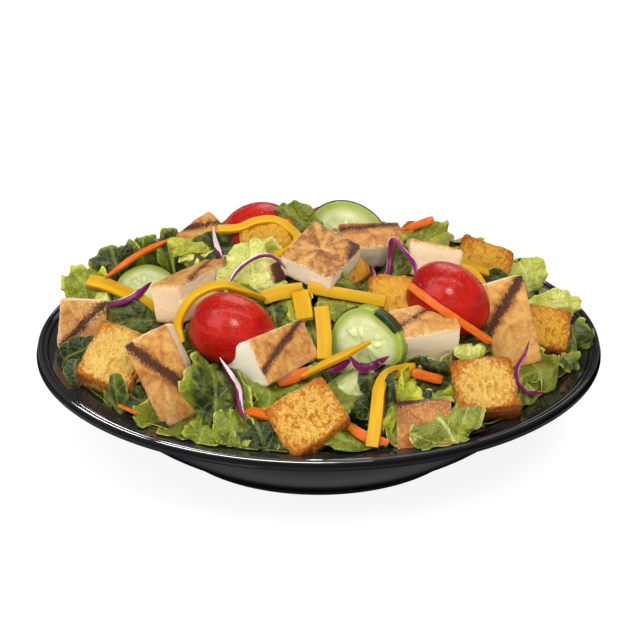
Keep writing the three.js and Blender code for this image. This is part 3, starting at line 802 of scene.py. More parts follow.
carrotLook = {
    "width": 3.6, "thickness": 1.7, "round": 0.15, "uneven": 0.1, "step": 0.9, "ends": 0.75, "taper": 2,
}
carrotStrips = {
    "carrot_01": dict(points=[(-58, 16, 74), (-70, 9, 70.5), (-83, 3, 63)], face=upAndFront, width=2.2,
        ends=0.3, taper=12),
    "carrot_02": dict(points=[(35, 20, 77), (45, 20, 81)], width=3),
    "carrot_03": dict(points=[(34, -33, 75), (43, -42, 71), (52, -43, 65), (64, -42, 56)], width=3),
    "carrot_04": dict(points=[(-73, -69, 42.5), (-66, -76, 42.5)], width=1.3, thickness=1.2),
    "carrot_05": dict(points=[(-26, -81, 46), (-17, -89, 48)], face=upAndFront),
    "carrot_06": dict(points=[(11, -87.5, 43), (18, -92, 40.5), (25, -93.5, 39.5)], ends=0.5, taper=5),
    "carrot_07": dict(points=[(34, -65, 54), (45, -63, 50)]),
    "carrot_08": dict(points=[(-15, -67, 51), (-3, -64, 54)], width=4.5),
}
cabbageLook = {
    "width": 4, "thickness": 1.1, "round": 0.35, "uneven": 0.2, "step": 0.8, "ends": 0.12, "taper": 9,
}
cabbageStrips = {
    "cabbage_01": dict(points=[(-82, -8, 56.5), (-75, -9, 58.5), (-69, -6, 61), (-65, -1, 63)], twist=40,
        width=3),
    "cabbage_02": dict(points=[(-41, 14, 80), (-40, 8, 76), (-37, -2, 72)], width=2.2, pale=0.9),
    "cabbage_03": dict(points=[(-34.5, -23.5, 71), (-30, -20, 76.5), (-24, -18, 80), (-19.5, -18, 81),
        (-16, -19, 80), (-12.5, -21.5, 77)], face=upAndFront, width=1.6, pale=0.45),
    "cabbage_04": dict(points=[(20, -10, 74), (22, -14, 70), (26, -12, 71), (27, -8, 76), (28, -9, 84),
        (32, -12, 81), (36, -20, 78), (38, -37, 76)], width=1.9),
    "cabbage_05": dict(points=[(-36, -63, 59), (-32, -67, 54), (-29, -74, 51), (-28, -81, 47),
        (-26, -87, 45)], width=2.4, pale=0.55),
    "cabbage_06": dict(points=[(26, -60, 58), (20, -66, 57), (15, -65, 56), (11, -59, 58)], width=3),
    "cabbage_07": dict(points=[(3, -65, 54), (7, -62, 55), (12, -58, 56)], width=5),
    "cabbage_08": dict(points=[(79, -38, 55), (77, -40, 50), (74, -46, 47), (74, -53, 44), (78, -57, 42),
        (85, -53, 40)], width=1.7),
}
extraShreds = {  # kind: from, to, height over the leaves, bow
    "cheese": [((6, 9), (10, 10), 5, 0), ((-43, -66), (-39, -67), 3, 0), ((-50, 66), (-30, 74), 0, 3),
               ((20, 76), (42, 70), 0, 2), ((-8, 66), (-3, 82), 0, 2), ((66, 56), (80, 44), 0, -3),
               ((-84, 42), (-74, 52), 0, 3), ((-34, 84), (-18, 90), 0, 2), ((58, 72), (72, 60), 0, 3)],
    "carrot": [((32, 23), (36, 23), 4, 0), ((-14, 62), (2, 70), 0, 3), ((28, 78), (33, 90), 0, 2),
               ((-54, 76), (-38, 84), 0, -2), ((72, 62), (84, 48), 0, 2), ((-88, 38), (-82, 50), 0, -2)],
    "cabbage": [((-93, -1), (-91, -3), 3, 0), ((-36, 62), (-48, 72), 0, 4), ((8, 66), (22, 62), 0, 5),
                ((52, 60), (64, 68), 0, 3), ((-72, 62), (-62, 72), 0, 3), ((12, 74), (24, 84), 0, -4)],
}


def layShred(start, end, lift, bow):
    # a shred that lies over the leaves from one place to another, curled sideways by its bow
    share = np.linspace(0, 1, 6)
    ahead = np.array(end) - np.array(start)
    aside = np.array([-ahead[1], ahead[0]]) / np.hypot(*ahead)
    curl = 1.3 * bow * np.sin(np.pi * share) + 0.4 * bow * np.sin(2 * np.pi * share)
    x, y = (start[axis] + ahead[axis] * share + aside[axis] * curl for axis in (0, 1))
    z = heapSurface(x, y) + lift + 0.7 * abs(bow) * np.sin(np.pi * share)
    face = (0, 0.3 * np.sign(y[0]), 1)
    return {"points": np.c_[x, y, z].tolist(), "face": face, "twist": 15 * bow, "slim": 0.72}


shredKinds = {
    "cheese": (cheeseStrips, cheeseLook),
    "carrot": (carrotStrips, carrotLook),
    "cabbage": (cabbageStrips, cabbageLook),
}
for kind, (strips, look) in shredKinds.items():
    for number, entry in enumerate(extraShreds[kind]):
        strips["loose_" + kind + "_" + str(number + 1)] = layShred(*entry)


def stripSize(entry, look):
    return (entry.get(size, look[size] * entry.get("slim", 1)) for size in ("width", "thickness"))


def smoothLine(stops, steps):
    # a smooth curve through the stops, at even steps along its length
    stops = np.array(stops, float)
    ends = np.vstack([2 * stops[0] - stops[1], stops, 2 * stops[-1] - stops[-2]])
    fine = []
    for i in range(len(stops) - 1):
        before, start, end, after = ends[i : i + 4]
        t = np.linspace(0, 1, 24, endpoint=False)[:, None]
        fine.append(0.5 * (2 * start + (end - before) * t + (2 * before - 5 * start + 4 * end - after) * t**2
                           + (3 * start - before - 3 * end + after) * t**3))
    fine = np.vstack(fine + [stops[-1:]])
    reach = np.r_[0, np.cumsum(np.linalg.norm(np.diff(fine, axis=0), axis=1))]
    even = np.linspace(0, reach[-1], steps)
    return np.c_[[np.interp(even, reach, fine[:, axis]) for axis in range(3)]].T, reach[-1]


def stripMesh(entry, look, seed):
    # a flat bar with rounded corners along a smooth line, uneven and thinner towards its ends
    width, thickness = stripSize(entry, look)
    length = smoothLine(entry["points"], 2)[1]
    steps = max(6, int(length / look["step"]))
    line, length = smoothLine(entry["points"], steps)
    ahead = np.gradient(line, axis=0)
    ahead /= np.linalg.norm(ahead, axis=1)[:, None]
    share = np.linspace(-0.5, 0.5, steps)
    face = np.array(entry.get("face", towardsFront), float)
    flat = face - (ahead @ face)[:, None] * ahead
    flat /= np.linalg.norm(flat, axis=1)[:, None]
    twist = np.radians(entry.get("twist", 0) * share)[:, None]
    flat = flat * np.cos(twist) + np.cross(ahead, flat) * np.sin(twist)
    across = np.cross(flat, ahead)
    corner = look["round"] * thickness
    angle = np.radians([20, 45, 70, 110, 135, 160, 200, 225, 250, 290, 315, 340])  # three to each corner
    around = np.c_[np.cos(angle), np.sin(angle)]
    section = np.sign(around) * (np.array([width, thickness]) / 2 - corner) + corner * around
    along = np.c_[share * length, np.zeros(steps), np.zeros(steps)]
    swell = 1 + look["uneven"] * noiseAt(along, 4.5, seed)
    shift = look["uneven"] * 1.5 * noiseAt(along, 6, seed + 3)
    ends = entry.get("ends", look["ends"])
    nearEnd = np.minimum(share + 0.5, 0.5 - share) * length / entry.get("taper", look["taper"])
    taper = ends + (1 - ends) * np.sin(np.clip(nearEnd, 0, 1) * np.pi / 2)
    wide = (section[:, 0] * (swell * taper)[:, None] + shift[:, None])[..., None] * across[:, None]
    thick = (section[:, 1] * (0.5 + 0.5 * taper)[:, None])[..., None] * flat[:, None]
    rings = (line[:, None] + wide + thick).reshape(-1, 3)
    places = np.vstack([rings, line[:1] - ahead[:1] * 0.1, line[-1:] + ahead[-1:] * 0.1])
    count = len(section)
    ring = np.arange(steps * count).reshape(steps, count)
    after = np.roll(ring, -1, axis=1)
    faces = np.stack([ring[:-1], after[:-1], after[1:], ring[1:]], axis=-1).reshape(-1, 4).tolist()
    first, last = np.full(count, steps * count), np.full(count, steps * count + 1)
    faces += np.c_[first, after[0], ring[0], last, ring[-1], after[-1]].reshape(-1, 3).tolist()
    side = np.r_[np.tile(section[:, 0] / (width / 2), steps), 0, 0]
    front = np.r_[np.tile(section[:, 1] / (thickness / 2), steps), 0, 0]
    way = np.r_[np.repeat(share * length, count), -length / 2, length / 2]
    home = np.c_[way, side * width / 2 + seed * 9, front * thickness / 2]
    return places, faces, home, side, way


def makeStrip(name, entry, look, material, seed, nodes):
    places, faces, home, side, way = stripMesh(entry, look, seed)
    strip = makePiece(name, places * mm, faces)
    pale = entry.get("pale", 0) * smoothStep(0.45, -0.1, way / (way.max() - way.min()))
    setValues(strip, home=home, side=side, pale=pale)
    finishPiece(strip, name, material, nodes, smoothAngle=55)


shredColors = {  # drawn: how far the patches are drawn out along the shred; bump: its strength and depth
    "cheese": {"deep": (0.52, 0.27, 0.005), "light": (0.60, 0.345, 0.008), "edge": (0.52, 0.18, 0.004),
               "drawn": 0.1, "patches": (2.0, 0.3, 0.7), "bump": (0.1, 0.0002), "roughness": 0.42,
               "specular": 0.18, "inside": (0.15, (1.0, 0.6, 0.2), 0.0015), "name": "cheddarShred"},
    "carrot": {"deep": (0.50, 0.075, 0.004), "light": (0.66, 0.15, 0.006),
               "drawn": 0.2, "patches": (0.8, 0.3, 0.7), "bump": (0.2, 0.0003), "roughness": 0.38,
               "specular": 0.25, "inside": (0.2, (1.0, 0.4, 0.1), 0.0015), "name": "carrotShred"},
    "cabbage": {"deep": (0.10, 0.003, 0.044), "light": (0.23, 0.008, 0.105), "edge": (0.80, 0.60, 0.64),
                "drawn": 0.08, "patches": (1.2, 0.35, 0.65), "roughness": 0.32,
                "specular": 0.3, "inside": (0.12, (1.0, 0.3, 0.8), 0.001), "name": "redCabbage"},
}


def shredMaterial(kind):
    c = shredColors[kind]
    reads = {"cheese": ("side",), "carrot": (), "cabbage": ("side", "pale")}[kind]
    finish = {"Roughness": c["roughness"], "Specular_IOR_Level": c["specular"]}
    material, home, *values = foodMaterial(c["name"], *reads, inside=c["inside"], **finish)
    patches = mottled(stretch(home, c["drawn"], 1, 1), *c["patches"])
    color = blend(c["deep"], c["light"], patches["Patch"])
    if kind == "cheese":  # the cut sides are deeper
        return dress(material, blend(color, c["edge"], ease(calc("ABSOLUTE", *values), 0.93, 1.0), 0.6),
                     patches["Fine"], *c["bump"])
    if kind == "carrot":
        return dress(material, color, patches["Fine"], *c["bump"])
    # one edge of the cabbage shows the white inside, and so does the whole shred where it is pale
    reach = plus(values[0], times(values[1], 2.2), swing(patches["Fine"], 0.3))
    return dress(material, blend(color, c["edge"], ease(reach, 0.74, 0.98), 0.88))


for kind, (strips, look) in shredKinds.items():
    material = shredMaterial(kind)
    for number, (name, entry) in enumerate(strips.items()):
        nodes = ["lettuce_heap"] if name.startswith("loose") else [name]
        makeStrip(name + "_shred", entry, look, material, number + 71, nodes)
print("shreds made")

# lettuce: torn leaves over a core that is painted near-black as the shade between them

leafKinds = {
    "romaine": {"square": 2.6, "torn": 0.16, "teeth": 0.02, "ruffle": (2.0, 0.9, 0.25), "crumple": 1.4,
                "pucker": 0.8, "fold": 3.0, "rib": 1.1, "thickness": 0.5},
    "iceberg": {"square": 2.3, "torn": 0.16, "teeth": 0.015, "ruffle": (2.2, 1.2, 0.3), "crumple": 2.4,
                "pucker": 0.4, "fold": 1.0, "rib": 0.6, "thickness": 0.55},
    "frilly": {"square": 2.3, "torn": 0.16, "teeth": 0.03, "ruffle": (2.4, 2.8, 1.3), "crumple": 1.8,
               "pucker": 0.6, "fold": 1.5, "rib": 0.5, "thickness": 0.45},
}
leafVeinSpacing = 6.5
leafLimits = {
    "reach": 98.5,  # how far out a leaf lies freely
    # how deep leaves go behind a topping's face, how far in front of it that acts, and where it fades out
    "gap": 3, "front": 32, "fade": (1.14, 0.97),
    "shredGap": 1.6, "shredFront": 12, "shredFade": (2.2, 0.4), "shredNear": 14,  # the same for shreds
    "crest": 12, "crestHeight": 1.5, "crestFall": 0.4,  # the ceiling for leaves behind the heap
}


def leaf(kind, at, facing, spin, size, tone, **rest):
    return {"kind": kind, "at": at, "facing": facing, "spin": spin, "size": size, "tone": tone, **rest}


heroLeaves = [
    # back left, dark and ruffled
    leaf("frilly", (-80, 14, 65.6), (-98, 32), 26, (10, 7), 0.95),
    leaf("frilly", (-61, 14, 69.2), (-92, 32), 25, (11, 8), 0.95),
    leaf("frilly", (-59, 13, 68), (-90, 40), 0, (4.5, 3.5), 0.5),
    leaf("romaine", (-38, 5, 74), (-88, 30), 98, (6, 16), 0.85, over=("chicken_08", "tomato_03")),
    leaf("romaine", (-50, 6, 75.5), (-90, 40), 5, (8, 3), 0.2, waves=0.5, crumple=0.8,
        over=("chicken_08", "chicken_03")),
    leaf("iceberg", (-47, 4, 72), (-90, 40), 5, (8, 3.2), 0.15),
    # left
    leaf("frilly", (-91.5, 10, 57), (-100, 34), 12, (8.5, 9), 0.45, waves=0.9, limit=102),
    leaf("iceberg", (-82, 0, 54), (-95, 45), 20, (6, 5), 0.2),
    leaf("romaine", (-68, -22, 56), (-92, 42), 94, (6.5, 16), 0.85),
    leaf("romaine", (-90, -33, 48), (-115, 40), -56, (4.5, 8.5), 1.1, waves=0.5, over=("chicken_01",),
        limit=105),
    leaf("romaine", (-91, -41, 43.5), (-115, 30), 15, (2.6, 5), 0.95, waves=0.5, over=("chicken_01",),
        limit=105),
    leaf("romaine", (-46, -48, 56), (-95, 38), -20, (6.5, 8.5), 0.75, crumple=0.8),
    leaf("romaine", (-75, -66, 46), (-100, 25), 6, (4.5, 8), 0.8, square=1.6, waves=0.5,
        over=("crouton_01",)),
    leaf("romaine", (-65, -67, 43), (-100, 45), 60, (5, 7), 0.95),
    leaf("frilly", (-56, -80, 41), (-105, 50), -22, (13, 6), 0.7, limit=102),
    leaf("frilly", (-42, -89, 40), (-100, 50), -15, (8, 4.5), 0.55, limit=101),
    # front left
    leaf("frilly", (-37, -79, 49.5), (-92, 30), 3, (8.5, 16.5), 0.84, crumple=4.2, fold=6, waves=1.35),
    leaf("frilly", (-31, -90, 43), (-92, 35), 10, (7, 8), 0.68),
    leaf("frilly", (-18, -75, 51), (-90, 42), 4, (13.5, 7), 0.56),
    leaf("frilly", (-21, -91, 42), (-92, 45), 20, (7, 8), 1.25),
    # front right
    leaf("romaine", (7, -80, 55.5), (-95, 38), -24, (9, 11.5), 0.42, crumple=0.8, over=("cucumber_04",)),
    leaf("iceberg", (12, -70, 55), (-90, 42), -10, (4.5, 5), 0.25, over=("cucumber_04",)),
    leaf("romaine", (20, -83, 53.5), (-88, 40), -15, (6.5, 9.5), 1.15, over=("cucumber_04",)),
    leaf("frilly", (30, -81, 48), (-75, 30), -18, (6, 16), 0.2),
    leaf("romaine", (40, -67, 51), (-85, 45), 85, (8, 11), 0.95),
    leaf("frilly", (42, -73, 48), (-85, 45), 12, (9, 3), 0.4),
    leaf("iceberg", (46, -91, 44), (-82, 42), 30, (15, 8), 0.82, limit=106, over=("chicken_11",)),
    leaf("romaine", (10, -95, 41), (-90, 50), 70, (4.5, 8), 0.45),
    # right
    leaf("frilly", (98, -10, 44.5), (-62, 35), -12, (11, 7.5), 0.85, waves=1.25, limit=106),
    leaf("frilly", (95, -31, 43), (-65, 42), 10, (5, 4), 0.7, limit=104),
    leaf("romaine", (83, -44, 44), (-82, 32), -8, (8.5, 8.5), 0.48, crumple=0.6),
    leaf("iceberg", (91, 0, 51.7), (-70, 36), -89, (6.5, 13.5), 0.26, waves=0.8, square=1.8, limit=106),
    leaf("iceberg", (82, 23, 56.5), (-72, 34), 10, (8, 8), 0.35, waves=0.7),
    leaf("frilly", (77, -59, 41), (-80, 45), 0, (3.5, 3), 0.85),
    leaf("iceberg", (56, -46, 54), (-85, 40), 0, (5.5, 3), 0.2, crumple=0.4, waves=0.4),
    leaf("romaine", (57, -40, 56), (-85, 45), 80, (3.5, 6.5), 0.9),
    leaf("romaine", (68, 10, 60), (-80, 40), 80, (2.5, 6.5), 0.85, over=("crouton_05", "chicken_07")),
    # middle
    leaf("romaine", (42, 18, 73), (-82, 34), -65, (7, 11), 0.32),
    leaf("iceberg", (-25, -16, 76), (-98, 40), 12, (13, 12.5), 0.2, waves=0.4, crumple=1.1,
        over=("crouton_06", "tomato_03")),
    leaf("romaine", (-7, 10, 83.5), (-85, 34), 50, (4.5, 11), 0.6, square=1.7,
        over=("cucumber_02", "tomato_03")),
    leaf("romaine", (-27, -31, 69), (-90, 45), 80, (4, 8), 0.5),
    leaf("frilly", (-17, -39, 67), (-90, 40), 10, (5, 6.5), 0.9),
    leaf("frilly", (-10, -38, 69), (-92, 38), 10, (6, 8), 0.2),
    leaf("romaine", (5, -38, 67), (-90, 45), 10, (4.5, 6), 0.45),
    leaf("romaine", (28, -9, 75), (-88, 40), 20, (7, 6.5), 0.85),
    leaf("romaine", (13, -24, 72), (-88, 45), 75, (4, 7), 0.75),
    leaf("romaine", (10, -39, 67), (-88, 45), 50, (6, 6), 0.4),
    leaf("romaine", (18.5, -77, 57), (-90, 40), 5, (4.2, 7), 1.2, over=("cucumber_01", "cucumber_04")),
    # both ends, seen from the sides
    leaf("frilly", (-92, 24, 46), (172, 38), 10, (11, 8), 0.5, limit=102),
    leaf("iceberg", (-89, 30, 54), (165, 45), -60, (7, 9), 0.4),
    leaf("romaine", (-93, 10, 45), (186, 36), 75, (7, 10), 0.75, limit=102),
    leaf("frilly", (93, 18, 45), (10, 36), -8, (11, 7), 0.55, limit=102),
    leaf("romaine", (88, 34, 46), (22, 40), 60, (6, 9), 0.4, limit=101),
    leaf("romaine", (-75, 41, 56), (125, 50), 20, (10, 11), 0.5, loose=1.5, store="Back"),
    leaf("frilly", (-66, 36, 59), (110, 55), -40, (9, 8), 0.3, loose=1.5, store="Back"),
    leaf("frilly", (-79, 28, 61), (100, 50), 15, (11, 9), 0.5, loose=-5),
    leaf("romaine", (50, 32, 68), (85, 55), 70, (8, 11), 0.4, loose=-5.5),
    leaf("romaine", (-68, 28, 65), (92, 48), 80, (8, 10), 0.45, loose=-5),
]
# painted shade: the lower layers of filler leaves get the darker tones, as the leaves deep in the heap would
# be shaded
fillLayers = [
    {"count": 84, "sink": -6, "loose": -3.5, "size": (12, 18), "tone": (0.85, 1.1), "tilt": 16, "seed": 200},
    {"count": 84, "sink": -2.5, "loose": -0.5, "size": (8, 14), "tone": (0.4, 1.05), "tilt": 26, "seed": 400},
    {"count": 140, "sink": 0.5, "loose": 1.5, "size": (9, 15), "tone": (0.1, 0.95), "tilt": 24, "seed": 600,
     "behind": 36, "dip": 3.5, "rings": 12, "spokes": 96, "store": "Back"},
]
fillLook = {
    "reach": 95, "limit": 95.5, "goldenAngle": 137.508, "jitter": 0.15, "slim": (0.6, 0.9),
    "bend": (15, 60), "roll": (10, 50), "dipFrom": 15, "dipTo": 50,
}


def leafSheet(entry, seed):
    kind = {**leafKinds[entry["kind"]], "waves": 1, **entry}
    halfWidth, halfLength = entry["size"]
    mean = (halfWidth + halfLength) / 2
    frills = max(7, round(1.5 * mean)) + seed % 4
    rings = entry.get("rings", int(7 + 0.8 * max(entry["size"])))
    spokes = entry.get("spokes", 8 * frills)
    counts = (3 + seed % 2, max(4, round(0.6 * mean)) + seed % 3, min(frills, spokes // 7))
    turn = np.linspace(0, 2 * np.pi, spokes, endpoint=False)
    cosine, sine = np.cos(turn), np.sin(turn)
    circle = np.c_[cosine, sine, np.zeros(spokes)]
    square = (np.abs(cosine) ** kind["square"] + np.abs(sine) ** kind["square"]) ** (-1 / kind["square"])
    teeth = kind["teeth"] * noiseAt(circle, 0.12, seed + 1)
    outline = square * (1 + kind["torn"] * noiseAt(circle, 0.7, seed) + teeth)
    reach = (np.linspace(0, 1, rings + 1)[1:] ** 0.8)[:, None]
    x = halfWidth * reach * outline * cosine
    y = halfLength * reach * outline * sine
    # the ruffle: waves that grow towards the margin, shorter near it, with round tops and steep sides
    lift, sway = 0, 0
    for number, (strength, count, power) in enumerate(zip(kind["ruffle"], counts, (1.4, 3.5, 6))):
        phase = count * turn + 2.2 * noiseAt(circle, 0.5, seed + 20 + number)
        swell = kind["waves"] * np.clip(0.7 + 0.6 * noiseAt(circle, 0.4, seed + 30 + number), 0.1, 1.3)
        lift = lift + strength * mean / 11 * swell * reach**power * np.sin(phase)
        if number > 0:
            sway = sway - 0.5 * mean / count * swell * reach ** (power + 0.5) * np.sin(2 * phase)
    x = x - sine * sway
    y = y + cosine * sway
    flat = np.c_[x.ravel(), y.ravel(), np.zeros(x.size)]
    across = np.abs(flat[:, 0])
    bumps = kind["crumple"] * (noiseAt(flat, 9, seed + 4) + 0.55 * noiseAt(flat, 4, seed + 5))
    between = np.abs(np.sin(np.pi * (flat[:, 1] - 0.8 * across) / leafVeinSpacing)) - 0.5
    bumps += kind["pucker"] * between * np.minimum(1, across / 4)
    z = lift.ravel() + bumps + kind["fold"] * across / halfWidth
    sheet = np.vstack([np.c_[flat[:, :2], z], [[0, 0, z[:spokes].mean()]]])
    own = np.vstack([flat, [[0, 0, 0]]])
    for axis, degrees in ((1, entry.get("bend", 35)), (0, entry.get("roll", 20))):
        radius = entry["size"][axis] / math.radians(degrees)
        angle = sheet[:, axis] / radius
        height = sheet[:, 2].copy()
        sheet[:, axis] = (radius + height) * np.sin(angle)
        sheet[:, 2] = (radius + height) * np.cos(angle) - radius
    return sheet, own, np.r_[np.repeat(reach.ravel(), spokes), 0], rings, spokes


def toppingShapes():
    # what leaves keep clear of: middle, turn, half sizes and kind of each topping
    thin, long = tomatoLook["diameter"], tomatoLook["length"]
    shapes = []
    for name, entry in (chickenBlocks | croutonBlocks | tomatoPlaces | cucumberPlaces).items():
        if "radius" in entry:
            kind, size = "disc", (2 * entry["radius"], 2 * entry["radius"], cucumberLook["thickness"])
        elif "size" in entry:
            kind, size = "block", entry["size"]
        else:
            kind, size = "ball", np.array([long, thin, thin]) * entry.get("scale", 1)
        shapes.append((name, *restPlace(entry), np.array(size) / 2, kind))
    return shapes


toppingPlaces = toppingShapes()


def shredPlaces():
    # points along each shred, with the way its broad side faces and half its width
    shreds = []
    for strips, look in shredKinds.values():
        for name, entry in strips.items():
            length = smoothLine(entry["points"], 2)[1]
            line = smoothLine(entry["points"], max(3, int(length / 1.5)))[0]
            face = np.array(entry.get("face", towardsFront), float)
            shreds.append((name, line, face / np.linalg.norm(face), next(stripSize(entry, look)) / 2))
    return shreds


shredLines = shredPlaces()


def keepUnder(sheet, over):
    # a leaf in front of a shred goes down behind it
    gap, (outer, inner), near = -leafLimits["shredGap"], leafLimits["shredFade"], leafLimits["shredNear"]
    for name, line, face, half in shredLines:
        if name in over:
            continue
        close = ((sheet > line.min(axis=0) - near) & (sheet < line.max(axis=0) + near)).all(axis=1)
        if not close.any():
            continue
        offset = sheet[close][:, None, :] - line[None]
        level = offset @ face
        away = np.linalg.norm(offset - level[..., None] * face, axis=2)
        closest = np.arange(len(away)), away.argmin(axis=1)
        level, away = level[closest], away[closest]
        reached = (level > gap) & (level < leafLimits["shredFront"])
        share = np.where(reached, smoothStep(half + outer, half + inner, away), 0)
        sheet[close] += ((gap - level) * share)[:, None] * face
    return sheet


def keepClear(sheet, over):
    # a leaf in front of a topping's face goes down behind that face, where the topping hides it
    fade = leafLimits["fade"]
    for name, middle, turn, half, kind in toppingPlaces:
        if name in over:
            continue
        local = (sheet - middle) @ turn
        out = np.abs(local[:, :2]) / half[:2]
        inside = out.max(axis=1) if kind == "block" else np.hypot(out[:, 0], out[:, 1])
        face = half[2] * np.sqrt(np.clip(1 - inside**2, 0, 1)) if kind == "ball" else 0
        behind = face - leafLimits["gap"]
        front = (local[:, 2] > behind) & (local[:, 2] < leafLimits["front"]) & (inside < fade[0])
        share = np.where(front, smoothStep(*fade, inside), 0)
        local[:, 2] += (np.minimum(behind, local[:, 2]) - local[:, 2]) * share
        sheet = local @ turn.T + middle
    return sheet


def keepInBowl(sheet, limit):
    away = np.hypot(sheet[:, 0], sheet[:, 1])
    allowed = np.where(away > limit, limit + (away - limit) * 0.25, away)
    sheet[:, :2] *= (allowed / np.maximum(away, 1e-6))[:, None]
    curve = bowlCurve(bowlShape["wall"], 40)
    wallHeight = np.interp(allowed, curve[:, 0], curve[:, 1])
    lowest = np.where(allowed > 96, flangeTop(allowed), wallHeight) + 0.7
    sheet[:, 2] = np.maximum(sheet[:, 2], lowest)
    return sheet


def closedFaces(rings, spokes):
    # faces for two sheets, one under the other, joined at their margins; each is rings, then its middle point
    count = rings * spokes + 1
    ring = np.arange(rings * spokes).reshape(rings, spokes)
    after = np.roll(ring, -1, axis=1)
    quads = np.stack([ring[:-1], ring[1:], after[1:], after[:-1]], axis=-1).reshape(-1, 4)
    fan = np.stack([np.full(spokes, count - 1), ring[0], after[0]], axis=-1)
    wall = np.stack([ring[-1], ring[-1] + count, after[-1] + count, after[-1]], axis=-1)
    return np.vstack([quads, quads[:, ::-1] + count, wall]), np.vstack([fan, fan[:, ::-1] + count])


def leafBody(sheet, reach, own, rings, spokes, entry):
    # gives the sheet its thickness, thinnest at the margin and thicker along the midrib
    kind = leafKinds[entry["kind"]]
    grid = sheet[:-1].reshape(rings, spokes, 3)
    outwards = np.gradient(grid, axis=0)
    around = np.roll(grid, -1, axis=1) - np.roll(grid, 1, axis=1)
    normal = np.cross(outwards, around).reshape(-1, 3)
    normal /= np.maximum(np.linalg.norm(normal, axis=1), 1e-9)[:, None]
    middle = normal[:spokes].mean(axis=0)
    normal = np.vstack([normal, middle / np.linalg.norm(middle)])
    fade = np.clip(0.6 - 0.4 * own[:, 1] / entry["size"][1], 0, 1)
    rib = kind["rib"] * np.exp(-((own[:, 0] / 1.6) ** 2)) * fade
    half = (kind["thickness"] * (1 - 0.6 * reach**4) / 2)[:, None]
    return np.vstack([sheet + normal * half, sheet - normal * (half + (rib * (1 - reach**6))[:, None])])


leafStore = {kind + layer: [] for layer in ("", "Under", "Back") for kind in leafKinds}


def addLeaf(entry, seed):
    sheet, own, reach, rings, spokes = leafSheet(entry, seed)
    sheet = sheet @ turnTo(entry["facing"], entry["spin"]).T + np.array(entry["at"], float)
    if "loose" in entry:
        above = sheet[:, 2] - heapSurface(sheet[:, 0], sheet[:, 1]) - entry["loose"]
        sheet[:, 2] -= max(0, np.percentile(above, 90))
    over = entry.get("over", ())
    free = sheet.copy()
    sheet = keepInBowl(keepUnder(keepClear(sheet, over), over), entry.get("limit", leafLimits["reach"]))
    if entry.get("store") == "Back":  # these stay under the crest of the heap
        crest = leafLimits["crest"]
        ceiling = heapSurface(sheet[:, 0], crest) + leafLimits["crestHeight"]
        sheet[:, 2] = np.minimum(sheet[:, 2], ceiling - leafLimits["crestFall"] * (sheet[:, 1] - crest))
    body = leafBody(sheet, reach, own, rings, spokes, entry)
    quads, tris = closedFaces(rings, spokes)
    # the pattern follows the leaf where it is pressed down, so that it isn't drawn out there
    home = own + np.c_[np.zeros((len(own), 2)), seed * 13.7 + np.linalg.norm(sheet - free, axis=1)]
    leafStore[entry["kind"] + entry.get("store", "")].append({
        "places": body, "quads": quads, "tris": tris, "home": np.vstack([home, home]),
        "reach": np.r_[reach, reach], "tone": np.full(len(body), entry["tone"]),
    })


def surfaceFacing(x, y):
    step = 3.0
    slopeX = (heapSurface(x + step, y) - heapSurface(x - step, y)) / (2 * step)
    slopeY = (heapSurface(x, y + step) - heapSurface(x, y - step)) / (2 * step)
    return math.degrees(math.atan2(-slopeY, -slopeX)), math.degrees(math.atan2(1, math.hypot(slopeX, slopeY)))


def fillerLeaves(layer):
    # turned round the heap by the golden angle, so that no rows show
    random = np.random.default_rng(layer["seed"])
    draw = random.uniform
    tilt = layer["tilt"]
    leaves = []
    for number in range(layer["count"]):
        away = fillLook["reach"] * math.sqrt((number + 0.5) / layer["count"])
        jitter = draw(-fillLook["jitter"], fillLook["jitter"])
        angle = math.radians(fillLook["goldenAngle"] * number) + jitter
        x, y = away * math.cos(angle), away * math.sin(angle)
        if y < layer.get("behind", -100) - 0.12 * abs(x):
            continue
        bearing, pitch = surfaceFacing(x, y)
        dip = layer.get("dip", 1.5) if fillLook["dipFrom"] < y < fillLook["dipTo"] else 0
        size = draw(*layer["size"])
        leaves.append(leaf(
            ("romaine", "iceberg", "frilly")[int(random.integers(0, 3))],
            (x, y, float(heapSurface(x, y)) + layer["sink"] + draw(-1, 1)),
            (bearing + draw(-tilt, tilt), min(88, pitch + draw(-tilt, tilt))),
            draw(0, 360), (size * draw(*fillLook["slim"]), size), draw(*layer["tone"]),
            bend=float(random.choice([-1, 1, 1])) * draw(*fillLook["bend"]),
            roll=float(random.choice([-1, 1, 1])) * draw(*fillLook["roll"]),
            rings=layer.get("rings", 8), spokes=layer.get("spokes", 56), store=layer.get("store", "Under"),
            limit=fillLook["limit"], loose=layer["loose"] - dip,
        ))
    return leaves


def makeLeafVeins():
    # pale veins: one midrib, side veins that slant off it, and a fine net between them
    group, entry, leave = newGroup("leafVeins", "Home", ("Spacing",), ("Vein", "Net"))
    parts = put(group, "ShaderNodeSeparateXYZ", {"Vector": entry["Home"]}).outputs
    wander = swing(noise(entry["Home"], 0.12), 5.0)
    across = calc("ABSOLUTE", plus(parts["X"], times(wander, 0.4)))
    slanted = plus(minus(parts["Y"], times(across, 0.8)), wander)
    share = calc("FRACT", calc("DIVIDE", slanted, entry["Spacing"]))
    sides = times(ease(calc("ABSOLUTE", minus(share, 0.5)), 0.42, 0.5), 0.8)
    cells = {"Vector": entry["Home"], "Scale": 0.42}
    net = put(group, "ShaderNodeTexVoronoi", cells, feature="DISTANCE_TO_EDGE")
    feed(leave["Vein"], calc("MAXIMUM", ease(across, 1.0, 0.3), sides))
    feed(leave["Net"], ease(net.outputs["Distance"], 0.12, 0.02))
    return group


